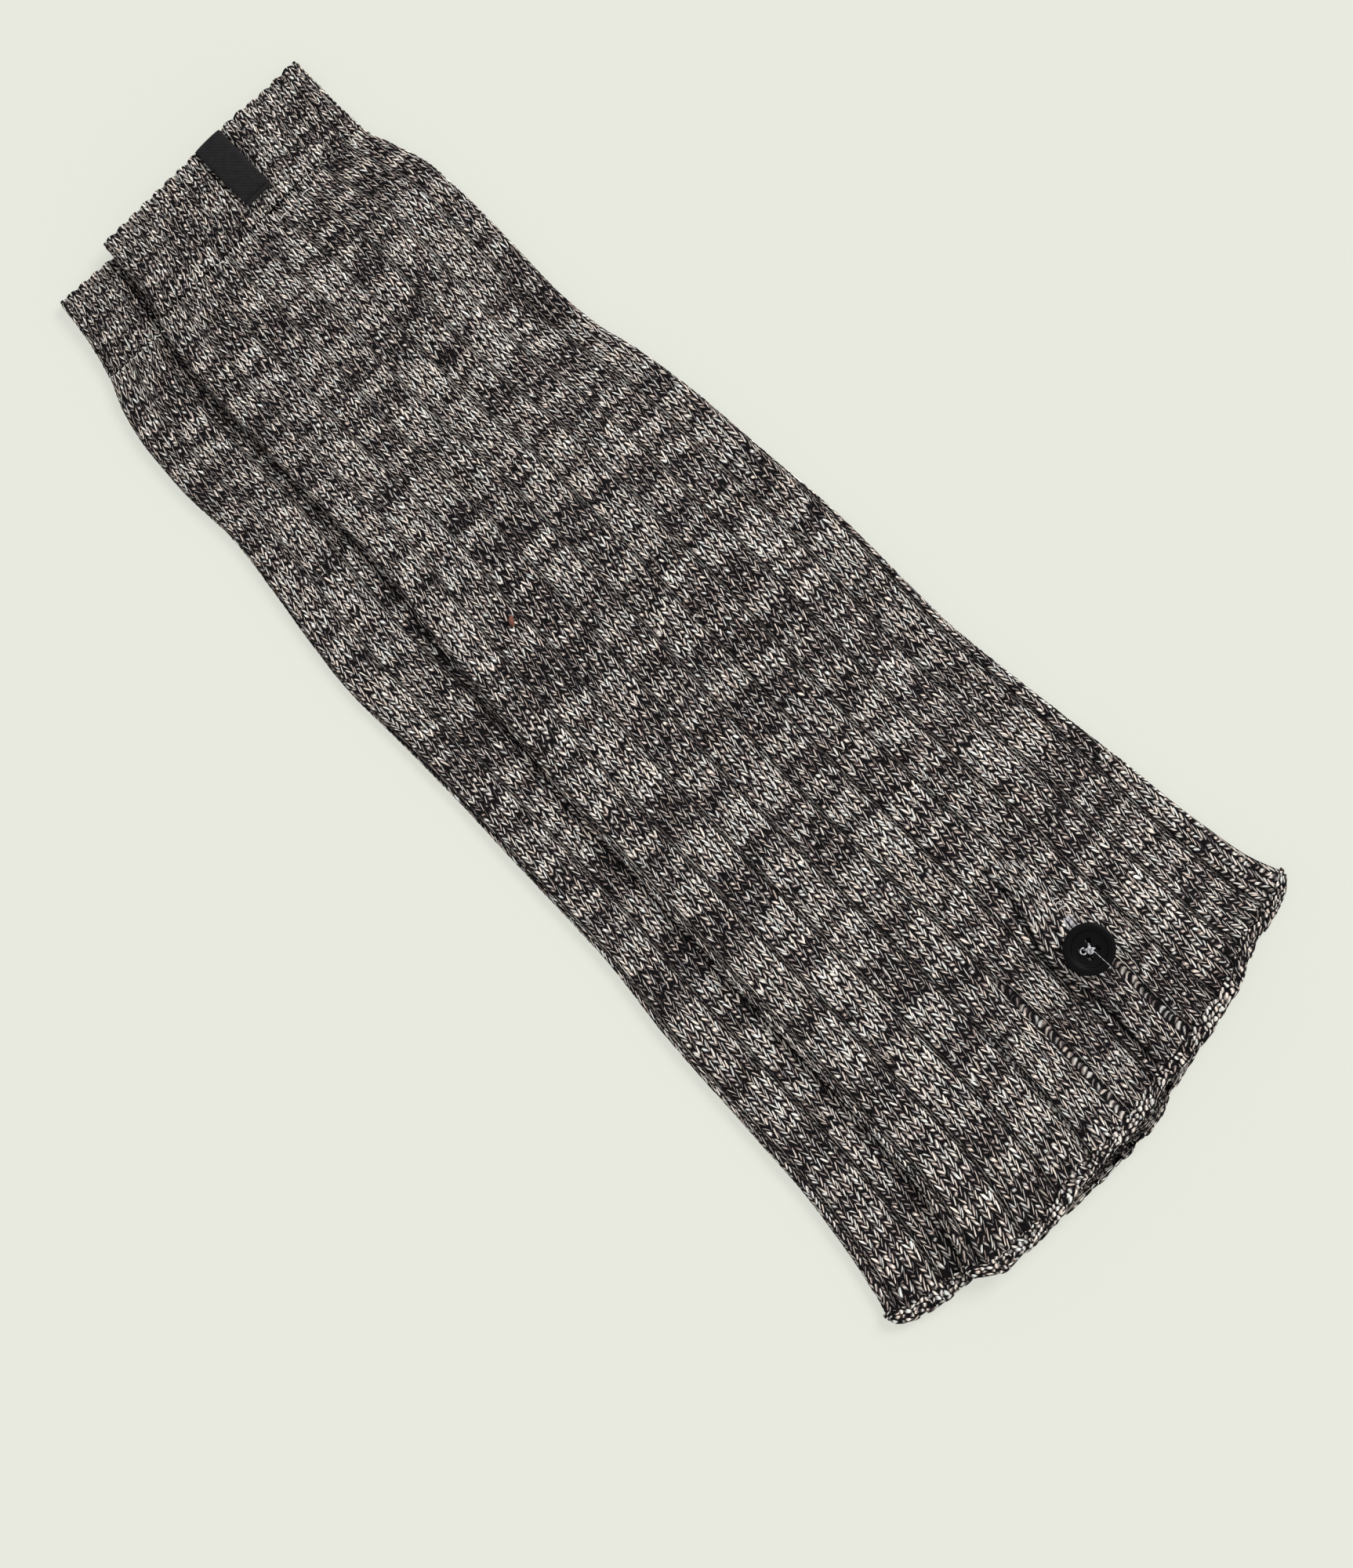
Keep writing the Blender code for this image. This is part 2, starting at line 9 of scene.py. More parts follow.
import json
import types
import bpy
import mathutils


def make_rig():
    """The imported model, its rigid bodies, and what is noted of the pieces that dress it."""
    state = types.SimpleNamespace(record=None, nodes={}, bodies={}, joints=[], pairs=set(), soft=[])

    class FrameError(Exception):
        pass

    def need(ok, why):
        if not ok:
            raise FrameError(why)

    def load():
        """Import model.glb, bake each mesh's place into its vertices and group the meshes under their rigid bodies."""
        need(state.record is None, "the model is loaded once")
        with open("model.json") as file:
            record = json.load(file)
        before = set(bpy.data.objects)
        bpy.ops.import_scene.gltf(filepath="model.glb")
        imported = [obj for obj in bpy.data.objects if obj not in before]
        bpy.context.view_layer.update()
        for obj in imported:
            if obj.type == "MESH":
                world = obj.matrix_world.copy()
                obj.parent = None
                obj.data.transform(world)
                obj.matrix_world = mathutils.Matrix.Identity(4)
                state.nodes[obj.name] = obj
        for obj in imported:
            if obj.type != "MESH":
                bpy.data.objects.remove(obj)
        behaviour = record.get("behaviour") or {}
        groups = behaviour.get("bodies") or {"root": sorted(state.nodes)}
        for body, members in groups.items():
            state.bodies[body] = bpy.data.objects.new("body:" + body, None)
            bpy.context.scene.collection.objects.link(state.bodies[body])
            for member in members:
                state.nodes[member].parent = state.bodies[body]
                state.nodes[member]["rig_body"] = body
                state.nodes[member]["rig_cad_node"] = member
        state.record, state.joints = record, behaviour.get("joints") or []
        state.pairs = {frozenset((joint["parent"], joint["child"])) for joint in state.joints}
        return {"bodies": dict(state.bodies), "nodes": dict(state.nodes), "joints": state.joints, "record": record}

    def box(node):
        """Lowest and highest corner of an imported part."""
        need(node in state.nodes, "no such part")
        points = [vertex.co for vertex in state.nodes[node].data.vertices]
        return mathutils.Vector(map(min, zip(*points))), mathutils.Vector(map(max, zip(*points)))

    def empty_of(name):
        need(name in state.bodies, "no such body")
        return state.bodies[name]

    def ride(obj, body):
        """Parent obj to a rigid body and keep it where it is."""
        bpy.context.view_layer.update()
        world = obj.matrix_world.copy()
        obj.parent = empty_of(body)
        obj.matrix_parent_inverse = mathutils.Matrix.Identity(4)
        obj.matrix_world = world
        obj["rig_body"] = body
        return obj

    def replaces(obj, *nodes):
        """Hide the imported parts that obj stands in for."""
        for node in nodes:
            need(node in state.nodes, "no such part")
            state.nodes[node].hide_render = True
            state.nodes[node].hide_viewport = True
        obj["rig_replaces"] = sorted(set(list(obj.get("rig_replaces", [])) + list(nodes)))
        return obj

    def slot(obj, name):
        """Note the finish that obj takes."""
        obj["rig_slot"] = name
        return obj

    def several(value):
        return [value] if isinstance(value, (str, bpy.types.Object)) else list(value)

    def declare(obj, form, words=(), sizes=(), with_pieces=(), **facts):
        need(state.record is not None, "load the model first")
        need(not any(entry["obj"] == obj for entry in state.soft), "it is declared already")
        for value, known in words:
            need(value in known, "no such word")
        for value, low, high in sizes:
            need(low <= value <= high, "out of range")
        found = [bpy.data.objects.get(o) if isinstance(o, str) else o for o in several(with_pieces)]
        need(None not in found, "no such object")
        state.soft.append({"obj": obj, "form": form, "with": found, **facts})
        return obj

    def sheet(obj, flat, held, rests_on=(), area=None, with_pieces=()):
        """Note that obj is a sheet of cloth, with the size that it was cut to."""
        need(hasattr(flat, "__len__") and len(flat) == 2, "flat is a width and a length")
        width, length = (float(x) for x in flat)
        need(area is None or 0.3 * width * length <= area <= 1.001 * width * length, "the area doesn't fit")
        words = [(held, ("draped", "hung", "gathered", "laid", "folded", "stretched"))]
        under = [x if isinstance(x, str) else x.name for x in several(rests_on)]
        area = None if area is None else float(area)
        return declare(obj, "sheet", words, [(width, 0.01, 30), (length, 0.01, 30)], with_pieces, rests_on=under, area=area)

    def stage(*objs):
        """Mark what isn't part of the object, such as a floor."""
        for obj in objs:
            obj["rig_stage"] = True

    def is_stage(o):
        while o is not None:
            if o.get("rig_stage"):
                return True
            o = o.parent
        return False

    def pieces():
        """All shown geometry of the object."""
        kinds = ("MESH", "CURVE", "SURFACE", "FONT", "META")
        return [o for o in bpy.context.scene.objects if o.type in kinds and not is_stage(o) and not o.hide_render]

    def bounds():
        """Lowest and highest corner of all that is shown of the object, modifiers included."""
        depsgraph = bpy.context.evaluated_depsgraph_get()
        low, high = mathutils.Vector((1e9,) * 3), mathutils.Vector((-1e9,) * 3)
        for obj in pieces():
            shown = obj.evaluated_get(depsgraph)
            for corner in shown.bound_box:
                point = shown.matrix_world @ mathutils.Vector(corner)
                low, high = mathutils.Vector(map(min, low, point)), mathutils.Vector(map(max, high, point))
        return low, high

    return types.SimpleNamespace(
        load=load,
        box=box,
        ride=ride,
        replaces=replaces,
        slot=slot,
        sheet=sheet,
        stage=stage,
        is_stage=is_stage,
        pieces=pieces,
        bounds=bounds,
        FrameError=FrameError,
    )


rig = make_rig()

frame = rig.load()

from dataclasses import dataclass, field
from enum import Enum
import json
import logging
import math
from typing import NamedTuple

import bpy
from bpy.types import ID, Material, Node, NodeSocket, NodeTree, Object
import numpy as np

CAD_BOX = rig.bounds()
MM = 0.001
LOG = logging.getLogger("leg_warmers")
Array = np.ndarray
Stops = tuple[tuple[float, str], ...]


# ---- Curves, noise and meshes ----


def ease(value: Array) -> Array:
    """Ease from 0 to 1: three times the square less twice the cube of the clipped value."""
    value = np.clip(value, 0.0, 1.0)
    return value * value * (3.0 - 2.0 * value)


def steps(count: int) -> Array:
    """Even steps from 0 to 1."""
    return np.linspace(0.0, 1.0, count)


def curve_through(column: Array, at: Array) -> Array:
    """Read a smooth curve through the values of a table's column.

    A cubic runs from row to row. Its slope at a row is the harmonic mean of the
    steps before and after it, or 0 where they differ in sign, so it never
    overshoots a row.

    Args:
        column: One value for each row.
        at: Where to read it, in rows.

    Returns:
        The curve's values, in the shape of at.
    """
    column = np.asarray(column, float)
    step = np.diff(column)
    before, after = step[:-1], step[1:]
    same = before * after > 0
    total = np.where(same, before + after, 1.0)
    inner = np.where(same, 2.0 * before * after / total, 0.0)
    slope = np.concatenate(([step[0]], inner, [step[-1]]))
    at = np.clip(at, 0.0, len(column) - 1.0)
    row = np.minimum(at.astype(int), len(column) - 2)
    f = at - row
    return (
        column[row] * (1.0 + 2.0 * f) * (1.0 - f) ** 2
        + slope[row] * f * (1.0 - f) ** 2
        + column[row + 1] * f * f * (3.0 - 2.0 * f)
        - slope[row + 1] * f * f * (1.0 - f)
    )


def unit(vectors: Array) -> Array:
    """Vectors over their lengths."""
    return vectors / np.linalg.norm(vectors, axis=-1, keepdims=True)


def distances(path: Array) -> Array:
    """The distance along a path to each of its points."""
    return np.concatenate(([0.0], np.cumsum(np.linalg.norm(np.diff(path, axis=0), axis=1))))


def soft_noise(x: Array, y: Array, seed: int, wrap: int = 256) -> Array:
    """Smooth noise from -1 to 1 with features one unit wide.

    Random values on a grid of whole numbers are eased from corner to corner.

    Args:
        x: First coordinate.
        y: Second coordinate.
        seed: Which grid of random values.
        wrap: After how many units the noise repeats along x.

    Returns:
        The noise, in the shape of x and y together.
    """
    x, y = np.broadcast_arrays(x, y)
    table = np.random.default_rng(seed).uniform(-1.0, 1.0, (256, 256))
    column, row = np.floor(x).astype(int), np.floor(y).astype(int)
    u, v = ease(x - column), ease(y - row)
    here, after, low = column % wrap, (column + 1) % wrap, row % 256
    a, b = table[here, low], table[after, low]
    c, d = table[here, (row + 1) % 256], table[after, (row + 1) % 256]
    return (a * (1 - u) + b * u) * (1 - v) + (c * (1 - u) + d * u) * v


MARKS = ("sunk", "shade", "plain")
MAPS = ("stitch", "OFBake")
PURL_MAP = 4000.0  # where purl bars start on the stitch map
PURL_STEP = 4.0  # from one groove's bars to the next one's
HEM_MAP = 8000.0  # where the hem's wraps start
WALL_MAP = 9000.0  # where the flap's cut edges lie
RIB_LEGS = 10.0  # legs from one groove to the next
WALL_SLACK = 0.1  # how much thinner the knit is than the room its walls take up


def new_object(name: str, data: ID) -> Object:
    """Make an object of some data and put it in the scene."""
    made = bpy.data.objects.new(name, data)
    bpy.context.scene.collection.objects.link(made)
    return made


def four_corners(grid: Array) -> Array:
    """The upper left, lower left, lower right and upper right of each cell of a grid."""
    rows = (grid[:-1, :-1], grid[1:, :-1], grid[1:, 1:], grid[:-1, 1:])
    return np.stack(rows, axis=2)


@dataclass
class Surface:
    """A mesh in the making: points, faces, and what rides on them.

    Faces are added in groups, each with its corners' texture coordinates.
    """

    points: list[Array] = field(default_factory=list)
    marks: dict[str, list[Array]] = field(default_factory=lambda: {key: [] for key in MARKS})
    faces: list[Array] = field(default_factory=list)
    maps: dict[str, list[Array]] = field(default_factory=lambda: {key: [] for key in MAPS})
    smooth: list[Array] = field(default_factory=list)
    count: int = 0

    def add_points(self, points: Array, **marks: Array | float) -> Array:
        """Add points of any grid shape.

        Args:
            points: Places, with x, y and z last.
            marks: Values that ride on the points, 0 where not given. sunk is
            how much painted shade darkens a point's colour, from 0 to 1, where shade
            falls in grooves, holes, cracks and inner faces. shade is how much lighter
            its yarn is, and darker below 0, partly a painted shadow beside the upper
            leg warmer's edge. plain is 1 where the mesh has no stitches of its own.

        Returns:
            Their numbers, in the grid's shape.
        """
        shape = points.shape[:-1]
        number = int(np.prod(shape))
        self.points.append(points.reshape(-1, 3))
        for key, values in self.marks.items():
            values.append(np.broadcast_to(marks.get(key, 0.0), shape).reshape(-1))
        self.count += number
        return (self.count - number + np.arange(number)).reshape(shape)

    def add_faces(self, corners: Array, stitch: Array, sheet: Array, smooth: bool = True) -> None:
        """Add faces with the same number of corners.

        Args:
            corners: Point numbers, the last axis going round each face.
            stitch: Each corner's place on the stitch map.
            sheet: Each corner's place on the piece laid out flat, from 0 to 1.
            smooth: Whether they are shaded smooth.
        """
        sides = corners.shape[-1]
        flat = corners.reshape(-1, sides)
        self.faces.append(flat)
        for key, values in zip(MAPS, (stitch, sheet)):
            self.maps[key].append(np.broadcast_to(values, corners.shape + (2,)).reshape(-1, 2))
        self.smooth.append(np.full(len(flat), smooth))

    def add_grid(
        self, corners: Array, stitch: Array, sheet: Array, turned: bool = False, smooth: bool = True
    ) -> None:
        """Add the four-cornered faces of a grid of points whose rows run down a surface.

        Args:
            corners: Point numbers, in rows from the top and columns from the left.
            stitch: Places on the stitch map, for each point or for each corner of a face.
            sheet: Places on the flat sheet, for each point.
            turned: Whether the faces look the other way.
            smooth: Whether they are shaded smooth.
        """
        faces, flat = four_corners(corners), four_corners(sheet)
        drawn = stitch if stitch.ndim == 4 else four_corners(stitch)
        if turned:
            faces, flat, drawn = faces[..., ::-1], flat[..., ::-1, :], drawn[..., ::-1, :]
        self.add_faces(faces, drawn, flat, smooth)

    def make(self, name: str, material: Material) -> Object:
        """Turn what was added into an object with one material."""
        mesh = bpy.data.meshes.new(name)
        loops = np.concatenate([group.reshape(-1) for group in self.faces])
        used, loops = np.unique(loops, return_inverse=True)
        points = np.concatenate(self.points)[used] * MM
        sides = np.concatenate([np.full(len(group), group.shape[1]) for group in self.faces])
        mesh.vertices.add(len(points))
        mesh.vertices.foreach_set("co", points.astype(np.float32).reshape(-1))
        mesh.loops.add(len(loops))
        mesh.loops.foreach_set("vertex_index", loops.astype(np.int32))
        mesh.polygons.add(len(sides))
        starts = np.concatenate(([0], np.cumsum(sides)[:-1])).astype(np.int32)
        mesh.polygons.foreach_set("loop_start", starts)
        mesh.polygons.foreach_set("use_smooth", np.concatenate(self.smooth))
        mesh.update(calc_edges=True)
        for key, values in self.maps.items():
            layer = mesh.uv_layers.new(name=key)
            layer.data.foreach_set("uv", np.concatenate(values).astype(np.float32).reshape(-1))
        for key, values in self.marks.items():
            layer = mesh.attributes.new(key, "FLOAT", "POINT")
            layer.data.foreach_set("value", np.concatenate(values)[used].astype(np.float32))
        mesh.materials.append(material)
        LOG.info("%s: %d faces", name, len(mesh.polygons))
        return new_object(name, mesh)


# ---- Finishes ----


def linear(code: str) -> tuple[float, float, float, float]:
    """Turn an sRGB hex colour into linear red, green and blue, with an alpha of 1."""
    parts = [int(code[i:i + 2], 16) / 255.0 for i in (1, 3, 5)]
    return (*[p / 12.92 if p <= 0.04045 else ((p + 0.055) / 1.055) ** 2.4 for p in parts], 1.0)


def set_inputs(node: Node, inputs: dict) -> None:
    """Set a node's inputs, by name or number: to a value, or linked from a socket or a field."""
    for key, value in inputs.items():
        value = value.socket if isinstance(value, Field) else value
        if isinstance(value, NodeSocket):
            node.id_data.links.new(value, node.inputs[key])
        else:
            node.inputs[key].default_value = value


def add_node(
    tree: NodeTree, kind: str, inputs: dict | None = None, stops: Stops = (), **settings: object
) -> Node:
    """Add one node with its settings and its inputs.

    Args:
        tree: The material's node tree.
        kind: The node's type, without the ShaderNode that starts each name.
        inputs: Socket name or number to a value, a socket or a field.
        stops: A colour ramp's places and colours.
        settings: The node's own properties.

    Returns:
        The node.
    """
    node = tree.nodes.new("ShaderNode" + kind)
    for key, value in settings.items():
        setattr(node, key, value)
    set_inputs(node, inputs or {})
    if stops:
        bands = node.color_ramp.elements
        while len(bands) < len(stops):
            bands.new(0.5)
        for band, (position, code) in zip(bands, stops):
            band.position, band.color = position, linear(code)
    return node


@dataclass
class Field:
    """A number that varies over a surface, with arithmetic that adds its nodes."""

    socket: NodeSocket

    def apply(self, operation: str, *values: object, clamp: bool = False) -> "Field":
        """The result of an operation on this field and other values, clamped to 0 and 1 if asked."""
        inputs = dict(enumerate((self, *values)))
        node = add_node(self.socket.id_data, "Math", inputs, operation=operation, use_clamp=clamp)
        return Field(node.outputs[0])

    def __add__(self, other: "Field | float") -> "Field":
        """Their sum."""
        return self.apply("ADD", other)

    def __sub__(self, other: "Field | float") -> "Field":
        """This less the other."""
        return self.apply("SUBTRACT", other)

    def __mul__(self, other: "Field | float") -> "Field":
        """Their product."""
        return self.apply("MULTIPLY", other)

    def __truediv__(self, other: "Field | float") -> "Field":
        """This over the other."""
        return self.apply("DIVIDE", other)

    def __pow__(self, other: float) -> "Field":
        """This to a power."""
        return self.apply("POWER", other)

    def rest(self, share: float = 1.0) -> "Field":
        """1 less a share of this, and not under 0."""
        return self.apply("MULTIPLY_ADD", -share, 1.0, clamp=True)

    def ease(self, start: float, end: float) -> "Field":
        """Ease from 0 where this is start to 1 where it is end."""
        inputs = {0: self, 1: start, 2: end}
        node = add_node(self.socket.id_data, "MapRange", inputs, interpolation_type="SMOOTHSTEP")
        return Field(node.outputs[0])


class Finish:
    """What each finish below has in common: a Principled shader fed by nodes."""

    def inputs(self, tree: NodeTree) -> dict:
        """The shader's inputs, after adding the nodes that feed them."""
        raise NotImplementedError

    def make(self, name: str) -> Material:
        """Build the material."""
        material = bpy.data.materials.new(name)
        material.use_nodes = True
        tree = material.node_tree
        set_inputs(tree.nodes["Principled BSDF"], self.inputs(tree))
        return material


@dataclass(frozen=True)
class MarlKnit(Finish):
    """Cotton and acrylic marl yarn, knitted: plies of black, charcoal, taupe and off-white.

    The eye sees each stitch leg as a slim grain of about one pale ply and half a dark
    one, on near-black gaps that are painted shade where the legs part. The pale ply's
    ridge is partly a painted highlight on each leg's round crown. The attribute
    "sunk" darkens the colour towards the gaps' black where shade falls.
    Whole ribs turn paler and darker in dashes of some courses.
    Coordinates come from the piece's stitch map: whole numbers part the legs, first
    across the wales and then along the courses. Where the attribute "plain" is 1 the
    mesh has no legs of its own, and bump draws them.
    """

    stops: Stops = (
        (0.00, "#0b070a"),
        (0.16, "#1d161b"),
        (0.30, "#494144"),
        (0.45, "#877e7b"),
        (0.62, "#ada6a2"),
        (0.80, "#d6d2cc"),
        (1.00, "#f5f4ee"),
    )
    gap: str = "#080608"  # near black where the legs part: painted shade, the shadow deep between them
    warm: str = "#fdefe4"  # what the warmest plies are multiplied by, and the coolest
    cool: str = "#edf3f4"
    base: float = 0.398  # middle of the ramp, higher for paler yarn
    dash: float = 0.34  # difference between pale and dark stretches of the yarn
    dash_rate: float = 0.34  # changes between the two, for each course
    patch: float = 0.08  # strength of the larger patches
    zigzag: float = 0.20  # difference between runs of a few legs
    leg: float = 0.31  # difference from leg to leg
    twin: float = 0.88  # difference between the pale ply and the dark ply, partly a painted highlight on each leg's crown
    ply: float = 0.42  # difference from one ply to another of its kind
    fibre: float = 0.60  # difference along a ply
    plies: float = 1.5  # plies side by side in a leg
    wander: float = 0.55  # how far legs stray from their places
    tilt: float = 1.2  # how far they turn, in courses for each wale
    steep: float = 0.50  # how much steeper a leg lies than its rows, in courses
    slimmest: float = 0.48  # half width of a leg, in courses
    slimmer: float = 0.26  # how much wider the widest is
    painted_shade_strength: float = 0.95  # how far full painted shade darkens the colour, as at a groove's bottom

    def inputs(self, tree: NodeTree) -> dict:
        """Legs, the plies in each, and how pale each ply is."""

        def noise(x: object, y: object, z: object, detail: float = 0.0) -> Field:
            """Smooth noise at a place, from -0.5 to 0.5."""
            place = add_node(tree, "CombineXYZ", {0: x, 1: y, 2: z}).outputs[0]
            inputs = {"Vector": place, "Scale": 1.0, "Detail": detail}
            return Field(add_node(tree, "TexNoise", inputs).outputs[0]) - 0.5

        def chance(x: object, y: object, z: object) -> list[Field]:
            """Three random values for each place, from 0 to 1."""
            place = add_node(tree, "CombineXYZ", {0: x, 1: y, 2: z}).outputs[0]
            white = add_node(tree, "TexWhiteNoise", {"Vector": place}).outputs["Color"]
            return [Field(part) for part in add_node(tree, "SeparateXYZ", {0: white}).outputs]

        stitch_map = add_node(tree, "UVMap", uv_map="stitch").outputs[0]
        x, y, _ = [Field(part) for part in add_node(tree, "SeparateXYZ", {0: stitch_map}).outputs]
        riding = [add_node(tree, "Attribute", attribute_name=key).outputs["Fac"] for key in MARKS]
        sunk, shade, plain = [Field(value) for value in riding]
        x = noise(x * 0.45, y * 0.55, 2.5) * self.wander + x
        column, along = x.apply("FLOOR"), x.apply("FRACT")
        y = noise(x * 1.2, y * 0.8, column * 5.3) * self.wander + y
        row, across = y.apply("FLOOR"), y.apply("FRACT")
        leg, other = chance(column, row, 1.5), chance(column, row, 4.5)

        # A leg is a spindle: its half width is an arch along it. It tilts and shifts a little.
        middle = along - 0.5
        aside = (leg[0] - 0.5) * self.tilt * middle + (other[0] * 0.4 + (across - 0.7))
        spread = x.apply("PINGPONG", 1.0)
        aside = (spread - 0.5) * (x.apply("LESS_THAN", PURL_MAP - 2.0) * self.steep) + aside
        end = (spread - (other[1] * 0.22 + 0.34)) * 2.4
        arch = (end.apply("ABSOLUTE") ** 2.0).rest() ** 0.8
        half = (leg[1] * self.slimmer + self.slimmest) * arch
        body = (aside.apply("ABSOLUTE") / half.apply("MAXIMUM", 0.01)).ease(0.5, 1.1).rest()

        # Plies are twisted together, a pale one in the middle and dark ones beside it. The pale ridge is partly a
        # painted highlight on each leg's round crown, with painted shade at its sides.
        strand = aside * self.plies + middle * (other[1] * 1.4 + 0.5) + (leg[2] * 0.8 + 0.1)
        pale = (strand + 0.5).apply("PINGPONG", 1.0) ** 1.8 - 0.36
        ply = chance(strand.apply("FLOOR") * 17.3 + column, row, 6.5)
        stretch = (x / RIB_LEGS).apply("FLOOR") * 3.7 + x * 0.03
        dash = noise(stretch, row * self.dash_rate, 3.7, 1.0).ease(-0.08, 0.08)
        patch = noise(x * 0.11, y * 0.30, 9.1, 1.0)
        zigzag = chance((column * 0.31 + row * 0.7).apply("FLOOR"), row, 8.5)
        fibre = noise(x * 3.0, y * 5.0, row, 2.0)
        tone = shade + self.base
        for source, strength in (
            (dash - 0.5, self.dash), (patch, self.patch), (zigzag[0] - 0.5, self.zigzag),
            (other[2] - 0.5, self.leg), (pale, self.twin), (ply[0] - 0.5, self.ply), (fibre, self.fibre),
        ):
            tone = source * strength + tone

        inputs = {0: ply[1], 6: linear(self.warm), 7: linear(self.cool)}
        cast = add_node(tree, "Mix", inputs, data_type="RGBA").outputs[2]
        inputs = {0: 1.0, 6: add_node(tree, "ValToRGB", {0: tone}, self.stops).outputs[0], 7: cast}
        yarn = add_node(tree, "Mix", inputs, data_type="RGBA", blend_type="MULTIPLY").outputs[2]
        # Painted shade: the gaps' near black shows where no leg covers, and where sunk darkens the colour.
        inputs = {0: body * sunk.rest(self.painted_shade_strength), 6: linear(self.gap), 7: yarn}
        colour = add_node(tree, "Mix", inputs, data_type="RGBA").outputs[2]

        round_plies = (strand * math.pi).apply("SINE").apply("ABSOLUTE") * 0.5
        height = body * (plain * 2.5 + 0.8) + (fibre * 0.5 + round_plies)
        bump = add_node(tree, "Bump", {"Strength": 0.6, "Distance": 0.25 * MM, "Height": height})
        return {
            "Base Color": colour, "Roughness": fibre * 0.3 + 0.8, "Normal": bump.outputs[0],
            "Specular IOR Level": 0.12,
        }


@dataclass(frozen=True)
class PressedPlastic(Finish):
    """Black polyester button, pressed and tumbled: satin, with faint scuffs."""

    def inputs(self, tree: NodeTree) -> dict:
        """Faint scuffs on a cloudy black."""
        place = add_node(tree, "TexCoord").outputs["Object"]
        scuff = add_node(tree, "TexNoise", {"Vector": place, "Scale": 900.0, "Detail": 4.0}).outputs[0]
        cloud = add_node(tree, "TexNoise", {"Vector": place, "Scale": 160.0, "Detail": 2.0}).outputs[0]
        tone = add_node(tree, "ValToRGB", {0: cloud}, ((0.0, "#030303"), (1.0, "#070708")))
        rough = add_node(tree, "MapRange", {0: scuff, 3: 0.30, 4: 0.50})
        bump = add_node(tree, "Bump", {"Strength": 0.25, "Distance": 0.03 * MM, "Height": scuff})
        return {
            "Base Color": tone.outputs[0], "Roughness": rough.outputs[0], "Normal": bump.outputs[0],
            "IOR": 1.55, "Specular IOR Level": 0.07,
        }


@dataclass(frozen=True)
class SpunThread(Finish):
    """Spun sewing thread: two plies twisted, soft and dull."""

    light: str
    dark: str

    def inputs(self, tree: NodeTree) -> dict:
        """Two plies as slanted bands: the stitch map runs along the thread and once round it."""
        place = add_node(tree, "UVMap", uv_map="stitch").outputs[0]
        inputs = {"Vector": place, "Scale": 0.32, "Distortion": 0.6, "Detail": 1.0}
        wave = add_node(tree, "TexWave", inputs, bands_direction="DIAGONAL").outputs[0]
        tone = add_node(tree, "ValToRGB", {0: wave}, ((0.0, self.dark), (1.0, self.light)))
        bump = add_node(tree, "Bump", {"Strength": 0.5, "Distance": 0.1 * MM, "Height": wave})
        return {
            "Base Color": tone.outputs[0], "Roughness": 0.8, "Normal": bump.outputs[0],
            "Sheen Weight": 0.2,
        }


@dataclass(frozen=True)
class WovenTape(Finish):
    """Black polyester label tape in a fine damask weave of 0.35 mm, drawn at 0.5 mm to show."""

    def inputs(self, tree: NodeTree) -> dict:
        """A ribbed weave with a twill: the stitch map is in millimetres across and along."""
        place = add_node(tree, "UVMap", uv_map="stitch").outputs[0]
        weft = add_node(tree, "TexWave", {"Vector": place, "Scale": 0.62}, bands_direction="Y")
        inputs = {"Vector": place, "Scale": 0.45, "Distortion": 0.4}
        twill = add_node(tree, "TexWave", inputs, bands_direction="DIAGONAL")
        weave = Field(weft.outputs[1]) * twill.outputs[1]
        cloud = add_node(tree, "TexNoise", {"Vector": place, "Scale": 0.5, "Detail": 3.0})
        stops = ((0.3, "#0d0c0d"), (1.0, "#201e20"))
        tone = add_node(tree, "ValToRGB", {0: weave * 0.6 + cloud.outputs[0]}, stops)
        bump = add_node(tree, "Bump", {"Strength": 0.5, "Distance": 0.12 * MM, "Height": weave})
        return {
            "Base Color": tone.outputs[0], "Roughness": 0.7, "Normal": bump.outputs[0],
            "Specular IOR Level": 0.15,
        }


@dataclass(frozen=True)
class DryLeaf(Finish):
    """A speck of dry plant, russet and matt."""

    def inputs(self, tree: NodeTree) -> dict:
        """A fine grain of two browns."""
        place = add_node(tree, "TexCoord").outputs["Object"]
        grain = add_node(tree, "TexNoise", {"Vector": place, "Scale": 1500.0, "Detail": 3.0})
        stops = ((0.0, "#3c211a"), (1.0, "#8a5644"))
        tone = add_node(tree, "ValToRGB", {0: grain.outputs[0]}, stops)
        return {"Base Color": tone.outputs[0], "Roughness": 0.8}


@dataclass(frozen=True)
class PaperSweep(Finish):
    """Pale paper lit from below too, as on a light table, so that shadows on it stay faint."""

    colour: str = "#e8eae0"
    glow: float = 0.72  # share of its light that comes from below
    light: float = 1.0  # how much light falls on it

    def inputs(self, tree: NodeTree) -> dict:
        """Paper with a slight tooth, most of its light its own."""
        place = add_node(tree, "TexCoord").outputs["Object"]
        grain = add_node(tree, "TexNoise", {"Vector": place, "Scale": 700.0, "Detail": 2.0}).outputs[0]
        bump = add_node(tree, "Bump", {"Strength": 0.05, "Distance": 0.05 * MM, "Height": grain})
        lit = (1.0 - self.glow) / self.light
        paper = linear(self.colour)
        return {
            "Base Color": (*[lit * part for part in paper[:3]], 1.0), "Roughness": 0.95,
            "Normal": bump.outputs[0], "Emission Color": paper, "Emission Strength": self.glow,
            "Specular IOR Level": 0.0,
        }


# ---- The lay of the cloth ----


class Edges(NamedTuple):
    """The two edges of one ring of a tube, and how far it is lifted off the surface."""

    left_x: float
    left_y: float
    right_x: float
    right_y: float
    lift: float = 0.0


